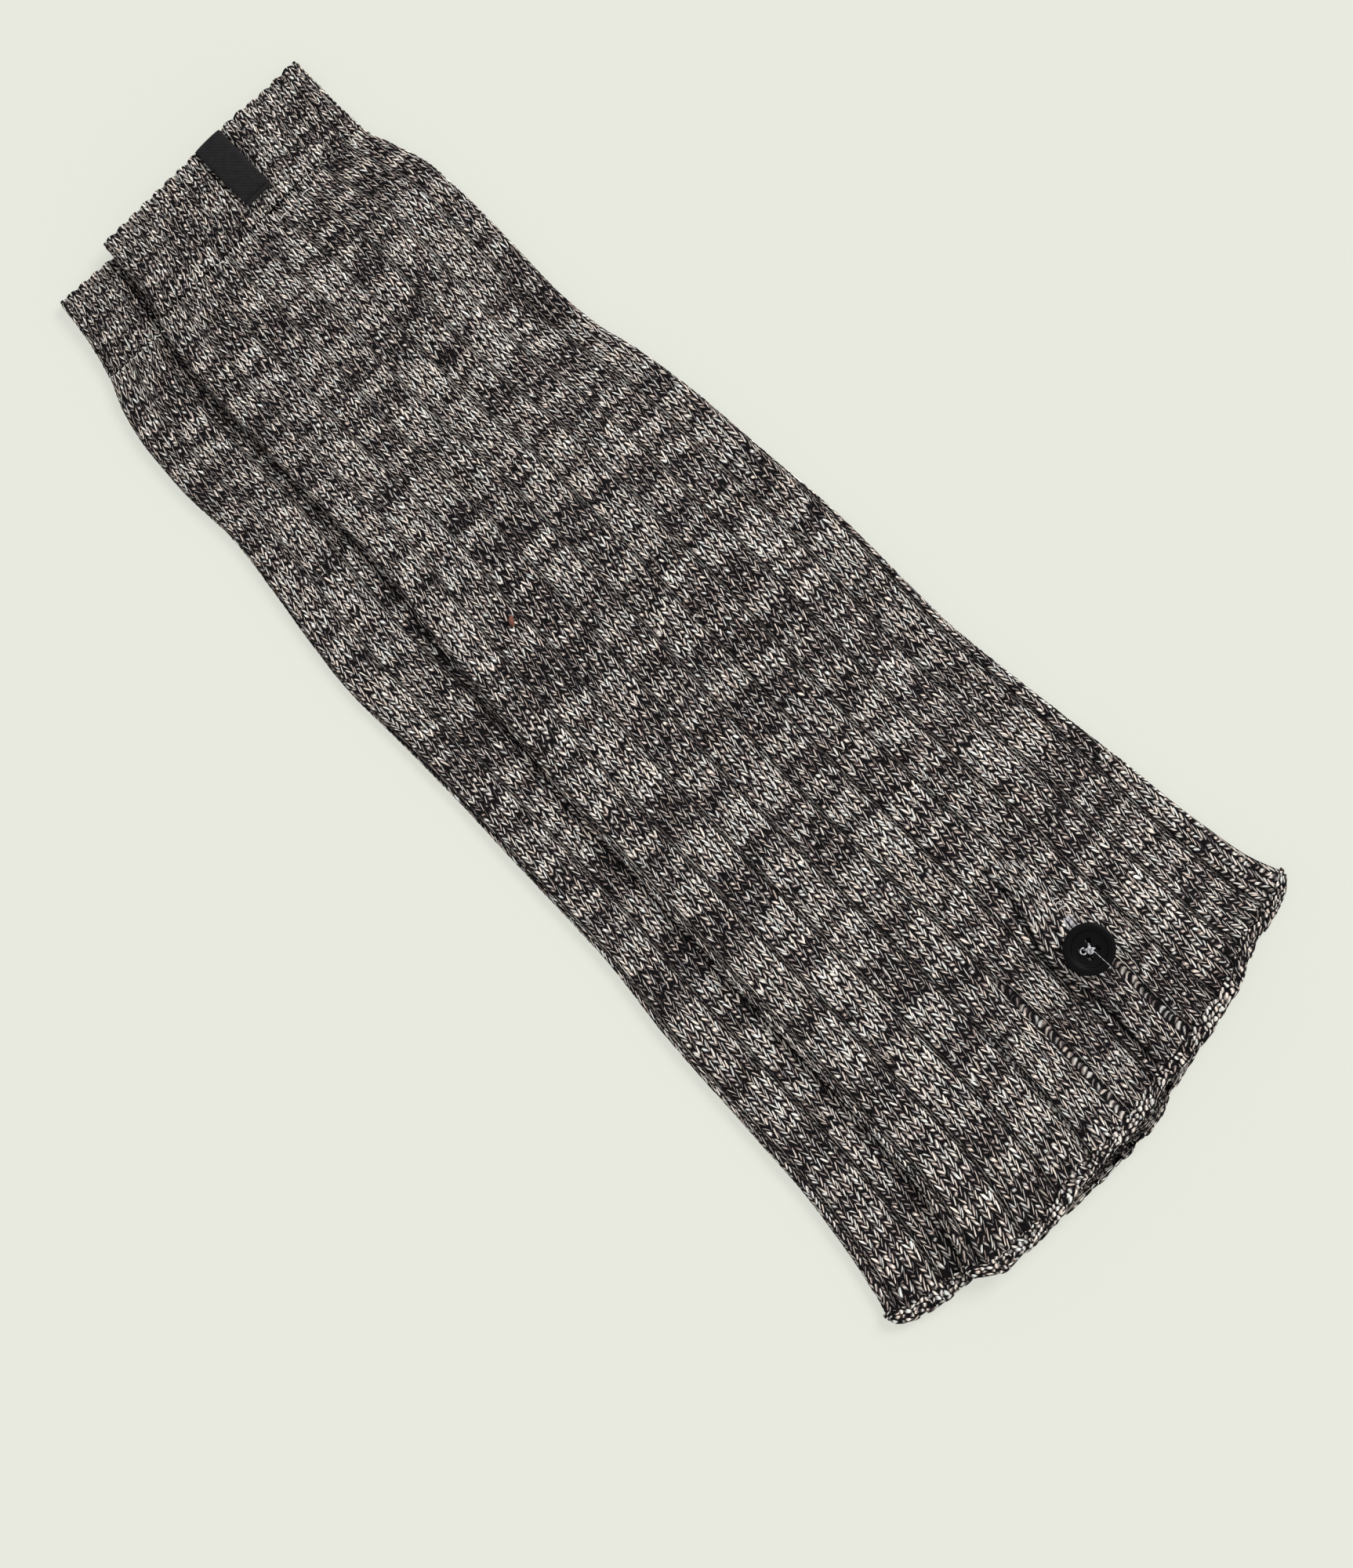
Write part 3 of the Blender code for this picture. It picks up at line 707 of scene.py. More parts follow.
class Form(NamedTuple):
    """The hollow in a ring, its share of the hem's slump, and where its ribs start and step."""

    hollow: float
    slump: float
    groove: float
    pitch: float


@dataclass(frozen=True)
class Row:
    """One ring of a tube: where its edges lie, and its form."""

    edges: Edges
    form: Form

    def value(self, name: str) -> float:
        """One of its numbers."""
        return getattr(self.edges if name in Edges._fields else self.form, name)


class Side(Enum):
    """A face of a tube that lies flat."""

    FRONT = "front"
    BACK = "back"


class Slump(NamedTuple):
    """How far the front's and the back's hem hang below a straight line."""

    across: float
    front: float
    back: float


# The columns of a form, one number for each row of the edges below.
HOLLOWS = (1.5, 1.3, 0.6, *(0.5,) * 14, 0.6, 0.8)
SLUMPS = (*(0.0,) * 13, 0.03, 0.15, 0.35, 0.62, 0.88, 1.00)
GROOVES = (
    *(-0.006,) * 4, -0.004, -0.002, 0.0, 0.002, 0.003, 0.005,
    0.008, 0.012, 0.015, 0.018, 0.021, 0.023, *(0.024,) * 3,
)
PITCHES = (
    *(0.115,) * 5, 0.114, 0.113, 0.113, 0.112, 0.111,
    0.110, 0.108, 0.107, 0.106, 0.105, *(0.104,) * 4,
)
FORMS = tuple(Form(*numbers) for numbers in zip(HOLLOWS, SLUMPS, GROOVES, PITCHES))

TOP_EDGES = (
    Edges(-36.3, 228.2, 53.9, 228.2, 5.7),
    Edges(-37.1, 213.0, 53.7, 213.0, 5.6),
    Edges(-40.8, 198.0, 54.2, 198.0, 5.2),
    Edges(-43.9, 185.4, 58.2, 185.4, 4.7),
    Edges(-45.3, 169.6, 62.4, 169.6, 4.7),
    Edges(-45.7, 144.0, 63.3, 144.0, 4.7),
    Edges(-45.9, 114.0, 63.0, 114.0, 4.7),
    Edges(-45.5, 95.9, 64.5, 95.9, 4.7),
    Edges(-46.6, 77.5, 69.2, 77.5, 4.7),
    Edges(-49.5, 56.4, 72.4, 56.4, 4.7),
    Edges(-52.1, 24.9, 75.0, 24.9, 4.7),
    Edges(-55.3, -15.0, 78.1, -15.0, 4.7),
    Edges(-56.8, -54.1, 78.4, -54.1, 4.7),
    Edges(-58.4, -93.0, 82.0, -90.0, 4.7),
    Edges(-59.5, -133.0, 86.8, -125.1, 4.7),
    Edges(-60.5, -158.0, 89.5, -146.2, 4.7),
    Edges(-61.6, -181.2, 92.4, -168.6, 4.9),
    Edges(-65.0, -202.0, 95.5, -185.7, 5.4),
    Edges(-70.0, -218.0, 100.0, -197.3, 5.4),
)

UNDER_EDGES = (
    Edges(-60.5, 225.2, 25.6, 219.6),
    Edges(-62.4, 211.3, 25.4, 205.9),
    Edges(-66.1, 196.6, 25.9, 191.6),
    Edges(-70.5, 186.4, 29.2, 182.6),
    Edges(-74.2, 169.6, 32.1, 167.5),
    Edges(-75.4, 150.0, 33.0, 148.0),
    Edges(-74.5, 130.1, 32.7, 128.0),
    Edges(-77.4, 103.8, 33.6, 101.6),
    Edges(-80.3, 84.1, 37.9, 82.8),
    Edges(-82.4, 61.7, 41.6, 60.4),
    Edges(-81.8, 27.5, 44.7, 26.9),
    Edges(-82.6, -15.0, 47.8, -15.0),
    Edges(-83.4, -54.1, 48.1, -54.1),
    Edges(-87.4, -93.0, 51.7, -90.0),
    Edges(-89.5, -133.0, 56.5, -125.1),
    Edges(-90.6, -158.0, 59.2, -146.2),
    Edges(-93.3, -180.4, 62.1, -168.6),
    Edges(-96.3, -197.5, 65.2, -185.7),
    Edges(-100.0, -211.4, 68.8, -196.6),
)

TOP_ROWS = tuple(Row(edges, form) for edges, form in zip(TOP_EDGES, FORMS))
UNDER_ROWS = tuple(Row(edges, form) for edges, form in zip(UNDER_EDGES, FORMS))

TOP_HEM = (
    Slump(0.00, 0.0, 0.0),
    Slump(0.05, 7.2, 7.2),
    Slump(0.20, 10.6, 11.0),
    Slump(0.29, 9.4, 13.3),
    Slump(0.38, 11.1, 15.5),
    Slump(0.47, 12.2, 16.4),
    Slump(0.54, 10.3, 13.6),
    Slump(0.66, 11.0, 11.0),
    Slump(0.78, 9.1, 9.1),
    Slump(0.85, 4.8, 4.8),
    Slump(0.97, 3.5, 3.5),
    Slump(1.00, 0.0, 0.0),
)

UNDER_HEM = (
    Slump(0.00, 0.0, 0.0),
    Slump(0.03, 4.0, 4.0),
    Slump(0.08, 6.8, 6.8),
    Slump(0.16, 10.0, 10.0),
    Slump(0.40, 14.0, 14.0),
    Slump(0.60, 13.4, 13.4),
    Slump(0.75, 9.6, 9.6),
    Slump(0.88, 4.8, 4.8),
    Slump(1.00, 0.0, 0.0),
)


class Dent(NamedTuple):
    """A soft trough pressed into a front: its middle, size, depth and slant in degrees."""

    x: float
    y: float
    length: float
    width: float
    depth: float
    slant: float


class Tint(NamedTuple):
    """A stretch of darker or lighter yarn on a front, also used for painted shadow."""

    x: float
    y: float
    length: float
    width: float
    change: float


class Pit(NamedTuple):
    """A small hole between stitches, lowered and darkened with painted shade."""

    x: float
    y: float
    length: float
    width: float


class SlitPoint(NamedTuple):
    """A point of the slit's line, with the crack's depth there, which also sets the painted shadow in the crack."""

    x: float
    y: float
    depth: float


class OpenGroove(NamedTuple):
    """A groove that gapes from start to end, so that its purl bars show."""

    rib: int
    start: float
    end: float
    width: float
    ease: float


@dataclass
class Lay:
    """How one leg warmer lies: a function of the place along it and round it.

    The place along is read between the table's rows, and called v. The place
    round is the distance run from the middle of the left side, over the front,
    the right side and the back.
    """

    rows: tuple[Row, ...]
    hem: tuple[Slump, ...]
    below: tuple[Row, ...] | None = None
    dents: tuple[Dent, ...] = ()
    tints: tuple[Tint, ...] = ()
    open_grooves: tuple[OpenGroove, ...] = ()
    pits: tuple[Pit, ...] = ()
    slit: tuple[SlitPoint, ...] = ()
    slit_width: float = 0.65
    wall: float = 1.9
    fall_start: float = -1.0
    fall_width: float = 15.0

    def column(self, name: str, v: Array) -> Array:
        """One of the table's columns, read at v."""
        return curve_through([row.value(name) for row in self.rows], v)

    def width(self, v: Array) -> Array:
        """Distance from the left edge to the right edge."""
        return self.column("right_x", v) - self.column("left_x", v)

    def radius(self, v: Array) -> Array:
        """Radius of the fold at either side: half of the two walls and the hollow."""
        return self.wall + 0.5 * self.column("hollow", v)

    def around(self, v: Array) -> Array:
        """Distance all round: two flat faces and a full circle."""
        radius = self.radius(v)
        return 2.0 * (self.width(v) - 2.0 * radius) + 2.0 * math.pi * radius

    def drop(self, share: Array, side: Side) -> Array:
        """The hem's slump at a share of the width: the table's line with its corners rounded."""
        across = steps(241)
        line = np.interp(across, [p.across for p in self.hem], [getattr(p, side.value) for p in self.hem])
        kernel = np.hanning(17) / np.hanning(17).sum()
        padded = np.concatenate((2 * line[0] - line[8:0:-1], line, 2 * line[-1] - line[-2:-10:-1]))
        return np.interp(share, across, np.convolve(padded, kernel, "valid"))

    def line_y(self, v: Array, share: Array, front: Array | float = 1.0) -> Array:
        """The y of a point: the line from edge to edge, less its share of the hem's slump."""
        left, right = self.column("left_y", v), self.column("right_y", v)
        drop = self.drop(share, Side.BACK)
        drop = drop + front * (self.drop(share, Side.FRONT) - drop)
        return left + share * (right - left) - self.column("slump", v) * drop

    def base(self, v: Array, x: Array) -> Array:
        """Height of the underside: the lift, eased down to 0 past the edge of the one below."""
        if self.below is None:
            return np.zeros(np.broadcast(v, x).shape)
        edge_y = [-row.edges.right_y for row in self.below]
        edge_x = [row.edges.right_x for row in self.below]
        starts = [np.interp(-row.edges.right_y, edge_y, edge_x) + self.fall_start for row in self.rows]
        start = curve_through(starts, v)
        return self.column("lift", v) * (1.0 - ease((x - start) / self.fall_width))

    def at_run(self, v: Array, run: Array) -> tuple[Array, Array]:
        """Points of the plain outer surface and the directions out of it.

        Round the ring, the distance runs over a quarter circle, the flat front, a
        half circle, the flat back and another quarter circle.

        Args:
            v: Place along, in rows.
            run: Place round, as a distance.

        Returns:
            Points and unit normals, each with x, y and z last.
        """
        v, run = np.broadcast_arrays(v, run)
        left, right = self.column("left_x", v), self.column("right_x", v)
        radius, around = self.radius(v), self.around(v)
        run = np.mod(run, around)
        quarter = 0.5 * math.pi * radius
        flat = right - left - 2.0 * radius
        a, b = quarter, quarter + flat
        c, d = b + 2.0 * quarter, b + 2.0 * quarter + flat
        where = [run < a, run < b, run < c, run < d]
        up, down = np.full_like(run, 0.5 * math.pi), np.full_like(run, -0.5 * math.pi)
        angle = np.select(
            where, [math.pi - run / radius, up, up - (run - b) / radius, down], down - (run - d) / radius
        )
        near, far = left + radius, right - radius
        centre = np.select(where, [near, near + run - a, far, far - (run - c)], near)
        out_x = np.where(where[0] | (where[2] & ~where[1]) | ~where[3], np.cos(angle), 0.0)
        out_z = np.sin(angle)
        x = centre + radius * out_x
        z = self.base(v, centre) + radius + radius * out_z
        share = np.clip((x - left) / (right - left), 0.0, 1.0)
        y = self.line_y(v, share, 0.5 + 0.5 * out_z)
        normal = np.stack((out_x, np.zeros_like(out_x), out_z), axis=-1)
        return np.stack((x, y, z), axis=-1), normal

    def row_at(self, x: Array, y: Array) -> Array:
        """The v of a place on the front, found by halving the interval."""
        low, high = np.zeros(x.shape), np.full(x.shape, len(self.rows) - 1.0)
        for _ in range(24):
            v = 0.5 * (low + high)
            share = np.clip((x - self.column("left_x", v)) / self.width(v), 0.0, 1.0)
            above = self.line_y(v, share) > y
            low, high = np.where(above, v, low), np.where(above, high, v)
        return v

    def front_height(self, x: Array, y: Array) -> Array:
        """Height of the plain front at a place."""
        x, y = np.broadcast_arrays(np.asarray(x, float), np.asarray(y, float))
        v = self.row_at(x, y)
        return self.base(v, x) + 2.0 * self.radius(v)

    def dent_depth(self, x: Array, y: Array) -> Array:
        """How deep the soft troughs press: a bell across each, eased off at its ends."""
        depth = np.zeros(np.broadcast(x, y).shape)
        for dent in self.dents:
            turn = math.radians(dent.slant)
            along = (x - dent.x) * math.sin(turn) + (y - dent.y) * math.cos(turn)
            across = (x - dent.x) * math.cos(turn) - (y - dent.y) * math.sin(turn)
            ends = ease(1.5 - 1.5 * np.abs(along) / (0.5 * dent.length))
            depth = depth + dent.depth * ends * np.exp(-(across / dent.width) ** 2)
        return depth

    def pit_depth(self, x: Array, y: Array) -> Array:
        """How deep holes and the slit are: a bell round each pit, and one across the slit. The depth lowers the front
        and also sets its painted shade.
        """
        depth = np.zeros(np.broadcast(x, y).shape)
        for pit in self.pits:
            far = ((x - pit.x) / pit.width) ** 2 + ((y - pit.y) / pit.length) ** 2
            depth = np.maximum(depth, np.exp(-far))
        if self.slit:
            at = [-point.y for point in self.slit]
            line = np.interp(-y, at, [point.x for point in self.slit])
            deep = np.interp(-y, at, [point.depth for point in self.slit], 0.0, 0.0)
            depth = np.maximum(depth, deep * np.exp(-(((x - line) / self.slit_width) ** 2)))
        return depth

    def tint_at(self, x: Array, y: Array) -> Array:
        """How much lighter or darker the yarn is, painted shadow included: a bell round each tinted stretch."""
        change = np.zeros(np.broadcast(x, y).shape)
        for tint in self.tints:
            far = ((x - tint.x) / tint.width) ** 2 + ((y - tint.y) / tint.length) ** 2
            change = change + tint.change * np.exp(-far)
        return change


# ---- Knit ----

@dataclass
class Ribbing:
    """One kind of ribbing along a stretch of a tube.

    Places along are counted in courses, and places round in ribs from the first
    groove at the left of the front. From first_rib to last_rib the ribs lie where
    the front shows them, and the rest share the back evenly.
    """

    lay: Lay
    first_row: float
    last_row: float
    courses: int
    per_rib: int
    ribs: float
    first_rib: float
    last_rib: float
    stretch: float = 1.0  # last course's height over the first's
    phase: float = 0.0  # 0 sets Vs astride the grooves, 0.5 between
    groove: float | None = None  # where rib 0 lies, or None for the table's
    pitch: float | None = None
    shifts: tuple[float, ...] = (0.0,)  # how far grooves wander at the hem
    groove_gap: float = 0.2
    squeeze: float = 1.0  # width of a wale split by a groove, over the others'

    def __post_init__(self) -> None:
        """Spread the courses along the stretch."""
        v = np.linspace(self.first_row, self.last_row, 1500)
        y = self.lay.line_y(v, np.full_like(v, 0.4))
        share = (y[0] - y) / (y[0] - y[-1])
        count = np.concatenate(([0.0], np.cumsum(np.diff(share) / (1.0 + share[1:] * (self.stretch - 1.0)))))
        self.course_v, self.course_count = v, count * self.courses / count[-1]

    def row_at(self, course: Array) -> Array:
        """Where a course lies, in rows of the table."""
        return np.interp(course, self.course_count, self.course_v)

    def share(self, v: Array, rib: Array) -> Array:
        """The share of the width where a rib's groove lies on the front."""
        if self.groove is not None:
            return self.groove + self.pitch * rib
        hemward = ease((v / (len(self.lay.rows) - 1.0) - 0.6) / 0.4)
        shift = np.interp(rib, np.arange(len(self.shifts)), self.shifts)
        return self.lay.column("groove", v) + self.lay.column("pitch", v) * rib + hemward * shift

    def across_rib(self, knit: Array) -> Array:
        """Where wales lie across a rib, from 0 to 1: the split ones at its sides are squeezed."""
        half = 0.5 / self.per_rib
        side = 0.5 * self.squeeze / (self.per_rib - 1.0 + self.squeeze)
        return np.interp(knit, (0.0, half, 1.0 - half, 1.0), (0.0, side, 1.0 - side, 1.0))

    def rib_width(self, v: Array) -> Array:
        """Distance from groove to groove on the front."""
        share = self.lay.column("pitch", v) if self.pitch is None else self.pitch
        return share * self.lay.width(v)

    def run(self, v: Array, rib: Array) -> Array:
        """Distance round the tube to a place counted in ribs."""
        width, radius, around = self.lay.width(v), self.lay.radius(v), self.lay.around(v)
        lead = 0.5 * math.pi * radius - radius
        start = self.share(v, np.full_like(v, self.first_rib)) * width + lead
        end = self.share(v, np.full_like(v, self.last_rib)) * width + lead
        past = (rib - self.last_rib) / (self.ribs - self.last_rib + self.first_rib)
        on_back = end + past * (around - end + start)
        return np.where(rib <= self.last_rib, self.share(v, rib) * width + lead, on_back)

    def gap_width(self, groove: Array, y: Array) -> Array:
        """Width of the purl strip in a groove, wider where the groove gapes."""
        width = np.full(np.broadcast(groove, y).shape, self.groove_gap)
        if self.groove is None:
            for gap in self.lay.open_grooves:
                gapes = ease((gap.start - y) / gap.ease) * ease((y - gap.end) / 6.0)
                width = width + (groove == gap.rib) * gapes * (gap.width - self.groove_gap)
        return width


def course_arch(rows: Array) -> Array:
    """A rounded arch across each course: a power of the sine of the place across it."""
    return np.sin(math.pi * np.mod(rows, 1.0)[:, None]) ** 0.75


@dataclass
class Lines:
    """The lines of points that run down a stretch of wales, from left to right.

    Each has its place in wales, and its share of the purl strip, which is 1
    outside a strip. Between purl strips a wale has two legs.
    """

    start: int
    end: int
    per_rib: int
    phase: float
    leg_stops: tuple[float, ...] = (0.0, 0.26, 0.74)
    purl_stops: tuple[float, ...] = (0.0, 0.34, 0.66)

    def __post_init__(self) -> None:
        """Work out each line and what the strip to its right is."""
        wale, purl = [], []
        for number in range(self.start, self.end):
            if number % self.per_rib == 0:
                wale += [number] * len(self.purl_stops)
                purl += self.purl_stops
            wale += [number + half + 0.5 * stop for half in (0.0, 0.5) for stop in self.leg_stops]
            purl += [1.0] * (2 * len(self.leg_stops))
        wale.append(self.end)
        purl.append(0.0 if self.end % self.per_rib == 0 else 1.0)
        self.wale, self.purl = np.array(wale, float), np.array(purl)
        self.is_purl = self.purl < 1.0
        self.rib = np.floor(self.wale / self.per_rib)
        self.knit = self.wale / self.per_rib - self.rib
        self.down = np.abs(2.0 * np.mod(self.wale + self.phase, 1.0) - 1.0)
        self.leg = np.floor(2.0 * (self.wale + self.phase)).astype(int)
        knit_map = 2.0 * (self.wale + self.phase)
        purl_map = PURL_MAP + PURL_STEP * self.rib
        after = np.where(self.is_purl[1:], self.purl[1:], 1.0)
        strip = self.is_purl[:-1]
        self.map_left = np.where(strip, purl_map[:-1] + self.purl[:-1], knit_map[:-1])
        self.map_right = np.where(strip, purl_map[:-1] + after, knit_map[1:])

    def cells(self, rows: Array) -> Array:
        """Places on the stitch map for the four corners of each cell under these rows."""
        left, top = np.broadcast_arrays(self.map_left, rows[:-1, None])
        right, bottom = np.broadcast_arrays(self.map_right, rows[1:, None])
        corners = ((left, top), (left, bottom), (right, bottom), (right, top))
        return np.stack([np.stack(corner, axis=-1) for corner in corners], axis=2)

    def leg_height(self, rows: Array) -> Array:
        """A leg's height from 0 to 1: a rounded arch across it, tucked in at its top end."""
        up = np.clip(1.0 - self.down, 0.0, 1.0)[None, :]
        tuck = 0.15 + 0.85 * np.sqrt(1.0 - up) * (0.55 + 0.45 * np.clip(up / 0.26, 0.0, 1.0))
        return course_arch(rows) * tuck


class Waver(Enum):
    """Soft noises round a ring: features round it, courses in each, and a seed."""

    COURSES = (16, 7.0, 0)
    GROOVES = (12, 16.0, 1)
    PUCKERS = (14, 9.0, 4)
    STITCHES = (110, 1.4, 7)
    SIDEWAYS = (110, 1.7, 9)
    PITS = (80, 1.1, 8)
    LOOPS = (40, 0.9, 1)
    ROLL = (23, 1.5, 5)
    ROLL_END = (23, 3.0, 6)


@dataclass(frozen=True)
class StitchForm:
    """The relief of one kind of knit."""

    leg: float = 0.42  # height of a leg's crown over its edge
    purl: float = 0.40  # height of a purl bar
    bow: float = 0.3  # how far a purl bar bows down, in courses
    slightest: float = 0.78  # least height of a leg, over its usual one, and most
    fullest: float = 1.12
    rib_depth: float = 1.15
    top_depth: float = 0.46  # share of that depth at the tube's upper end
    rib_spread: float = 0.70
    crown: float = 0.25  # how far a rib's middle stands over its sides
    proud: float = 0.15
    pucker: float = 0.22
    shear: float = 1.05  # courses that a leg runs down
    lean: float = 0.30  # how far courses wander, in courses
    stray: float = 0.24  # how far single stitches stray, in courses
    dark: float = 0.95  # how dark the painted shade in grooves is
    # Width of the grooves' painted shade.
    painted_shade_width: float = 0.42
    pits: float = 0.0  # depth of the holes at every second wale in the last courses, darkened with painted shade
    scallop: float = 0.0  # how far each rib's end stands out at the rim


@dataclass
class KnitRing:
    """A closed ring of knit wall, with its stitches modelled from one wale to another.

    Rows of points follow the legs, so they zigzag: a row is lower at the point of
    each V than where two Vs meet. A leg's height is a rounded arch across it,
    times an arch along it that is tucked in at the top end.
    """

    ribbing: Ribbing
    form: StitchForm
    first: int
    last: int
    fine_start: int
    fine_end: int
    per_course: int = 4
    coarse_step: int = 2
    inner_step: int = 8
    rim: bool = False
    seed: int = 1
    leg_stops: tuple[float, ...] = (0.0, 0.26, 0.74)
    purl_stops: tuple[float, ...] = (0.0, 0.34, 0.66)

    def __post_init__(self) -> None:
        """Lay out the fine lines of the front and the coarse ones of the back."""
        ribbing = self.ribbing
        self.total = int(round(ribbing.ribs * ribbing.per_rib))
        self.built = ribbing.lay.wall - WALL_SLACK
        self.half_wall = 0.5 * self.built
        self.fine = Lines(
            self.fine_start, self.fine_end, ribbing.per_rib, ribbing.phase, self.leg_stops, self.purl_stops
        )
        end = self.fine_start + self.total
        self.coarse = Lines(self.fine_end, end, ribbing.per_rib, ribbing.phase, (0.0,), (0.0,))

    def noise(self, lines: Lines, rows: Array, waver: Waver) -> Array:
        """Soft noise that meets itself round the ring."""
        cells, courses, seed = waver.value
        place = cells * lines.wale / self.total
        return soft_noise(place[None, :], rows[:, None] / courses, self.seed + seed, cells)

    def rolled(self, height: Array, turn: Array) -> Array:
        """Relief carried round a rim: it fades with the turn, and the wall's face turns in."""
        return height * np.cos(0.5 * turn) - self.half_wall * (1.0 - np.cos(turn))

    def near_end(self, rows: Array) -> Array:
        """1 in the last three courses, where the rib is narrower, and 0 above them."""
        return ease((rows[:, None] - self.ribbing.courses + 3.6) / 0.8)

    def place(self, rows: Array, lines: Lines) -> tuple[Array, Array, Array]:
        """Where each row crosses each line: the place along, the place in ribs and the y.

        A row zigzags down each leg and bows down in a purl strip, and soft noise shifts
        it. A line keeps its share of the rib between two purl strips, or of a strip.
        """
        ribbing = self.ribbing
        bar = lines.is_purl * self.form.bow * np.sin(math.pi * lines.purl)
        course = rows[:, None] + self.form.shear * (lines.down - 0.5 - bar)[None, :]
        course = course + self.form.lean * self.noise(lines, rows, Waver.COURSES)
        muddle = self.form.stray + 0.2 * min(self.form.pits, 1.0) * self.near_end(rows)
        course = course + muddle * self.noise(lines, rows, Waver.STITCHES)
        course = np.clip(course, 0.0, ribbing.courses)
        v = ribbing.row_at(course)
        y = ribbing.lay.line_y(v, np.full_like(v, 0.5))
        width = ribbing.rib_width(v)
        here = ribbing.gap_width(lines.rib[None, :], y)
        after = ribbing.gap_width(lines.rib[None, :] + 1, y)
        knit = ribbing.across_rib(lines.knit)[None, :]
        knit = 0.5 * here + (width - 0.5 * here - 0.5 * after) * knit
        purl = (lines.purl[None, :] - 0.5) * here
        rib = lines.rib[None, :] + np.where(lines.is_purl[None, :], purl, knit) / width
        rib = rib + 0.05 * self.form.stray * self.noise(lines, rows, Waver.SIDEWAYS)
        return v, rib + 0.035 * self.noise(lines, rows, Waver.GROOVES), y

    def relief(self, rows: Array, lines: Lines, rib: Array, v: Array, y: Array) -> tuple[Array, Array]:
        """Height over the plain surface, and how much painted shade darkens each point.

        A groove is a bell across it, and the rib between two grooves is one wave of a
        cosine. Legs and purl bars stand on that. Painted shade darkens the colour in a
        narrower bell, between the bars of a groove that gapes, and in the pits.
        """
        form, width = self.form, self.ribbing.rib_width(v)
        nearest = np.round(rib)
        half = 0.4 * self.ribbing.gap_width(nearest, y)
        away = np.maximum(np.abs(rib - nearest) * width - half, 0.0)
        gapes = np.clip((half - 0.4) / 0.8, 0.0, 1.0)
        along = v / (len(self.ribbing.lay.rows) - 1.0)
        deep = form.top_depth + (1.0 - form.top_depth) * ease(1.3 * along - 0.25)
        valley = deep * np.exp(-((away / form.rib_spread) ** 2)) * (1.0 - 0.45 * gapes)
        crown = 0.5 - 0.5 * np.cos(2.0 * math.pi * (rib - nearest))
        height = form.crown * (crown - 1.0) - form.rib_depth * valley
        # Painted shade in each groove, in a bell narrower than the groove.
        shadow = form.dark * deep * np.exp(-((away / form.painted_shade_width) ** 2)) * (1.0 - 0.7 * gapes)
        if lines is self.coarse:
            return height - 0.3 * form.leg, 0.6 * shadow
        # Painted shade between the purl bars of a groove that gapes.
        between = 1.0 - np.abs(np.sin(math.pi * rows))[:, None]
        shadow = np.maximum(shadow, gapes * lines.is_purl[None, :] * (0.25 + 0.7 * between))
        if form.pits:
            pit = np.exp(-(((np.mod(lines.wale + 0.5, 2.0) - 1.0) / 0.30) ** 2))[None, :]
            pit = self.near_end(rows) * pit * (0.6 + 0.4 * self.noise(lines, rows, Waver.PITS))
            height = height - form.pits * pit
            shadow = np.maximum(shadow, pit)
        random = np.random.default_rng(self.seed + 2)
        table = random.uniform(form.slightest, form.fullest, (256, 256))
        course = np.floor(rows + 1e-6).astype(int)[:, None]
        leg = form.leg * lines.leg_height(rows) * table[course % 256, lines.leg[None, :] % 256]
        bar = form.purl * course_arch(rows) * np.sin(math.pi * lines.purl) ** 0.3
        return height + np.where(lines.is_purl[None, :], bar, leg) - form.leg, np.clip(shadow, 0.0, 1.0)

    def outside(self, rows: Array, lines: Lines) -> tuple[Array, dict[str, Array]]:
        """Points of the outer surface with its relief, and what rides on them.

        Rows below 0 go round the rim: a half circle from the outer face to the inner.
        """
        lay, form = self.ribbing.lay, self.form
        v, rib, y = self.place(rows, lines)
        points, normal = lay.at_run(v, self.ribbing.run(v, rib))
        height, sunk = self.relief(rows, lines, rib, v, y)
        up = 0.5 + 0.5 * normal[..., 2]
        pucker = form.pucker * self.noise(lines, rows, Waver.PUCKERS)
        dent = lay.dent_depth(points[..., 0], points[..., 1])
        pit = up * lay.pit_depth(points[..., 0], points[..., 1])
        # Painted shade in the pits and along the slit, where shadow falls in them.
        sunk = np.maximum(sunk, np.clip(1.3 * pit, 0.0, 1.0))
        height = height + up * (form.proud + pucker - dent) - pit
        height = np.where(up > 0.5, height, np.minimum(height, 0.0))
        turn = math.pi * np.clip(-rows, 0.0, 1.0)[:, None]
        points = points + normal * self.rolled(height, turn)[..., None]
        if self.rim:
            scallop = form.scallop * (np.abs(np.sin(math.pi * rib)) - 0.6) * ease(1.0 - rows[:, None] / 1.5)
            points[..., 1] += self.half_wall * np.sin(turn) + scallop
        shade = lay.tint_at(points[..., 0], points[..., 1]) * up
        return points, {"sunk": sunk, "shade": shade, "plain": float(lines is self.coarse)}

    def inside(self, rows: Array, lines: Lines) -> Array:
        """Points of the plain inner surface."""
        lay = self.ribbing.lay
        v, rib, _ = self.place(rows, lines)
        points, normal = lay.at_run(v, self.ribbing.run(v, rib))
        dent = lay.dent_depth(points[..., 0], points[..., 1]) * (normal[..., 2] > 0)
        return points - normal * (self.built + 0.5 * dent)[..., None]

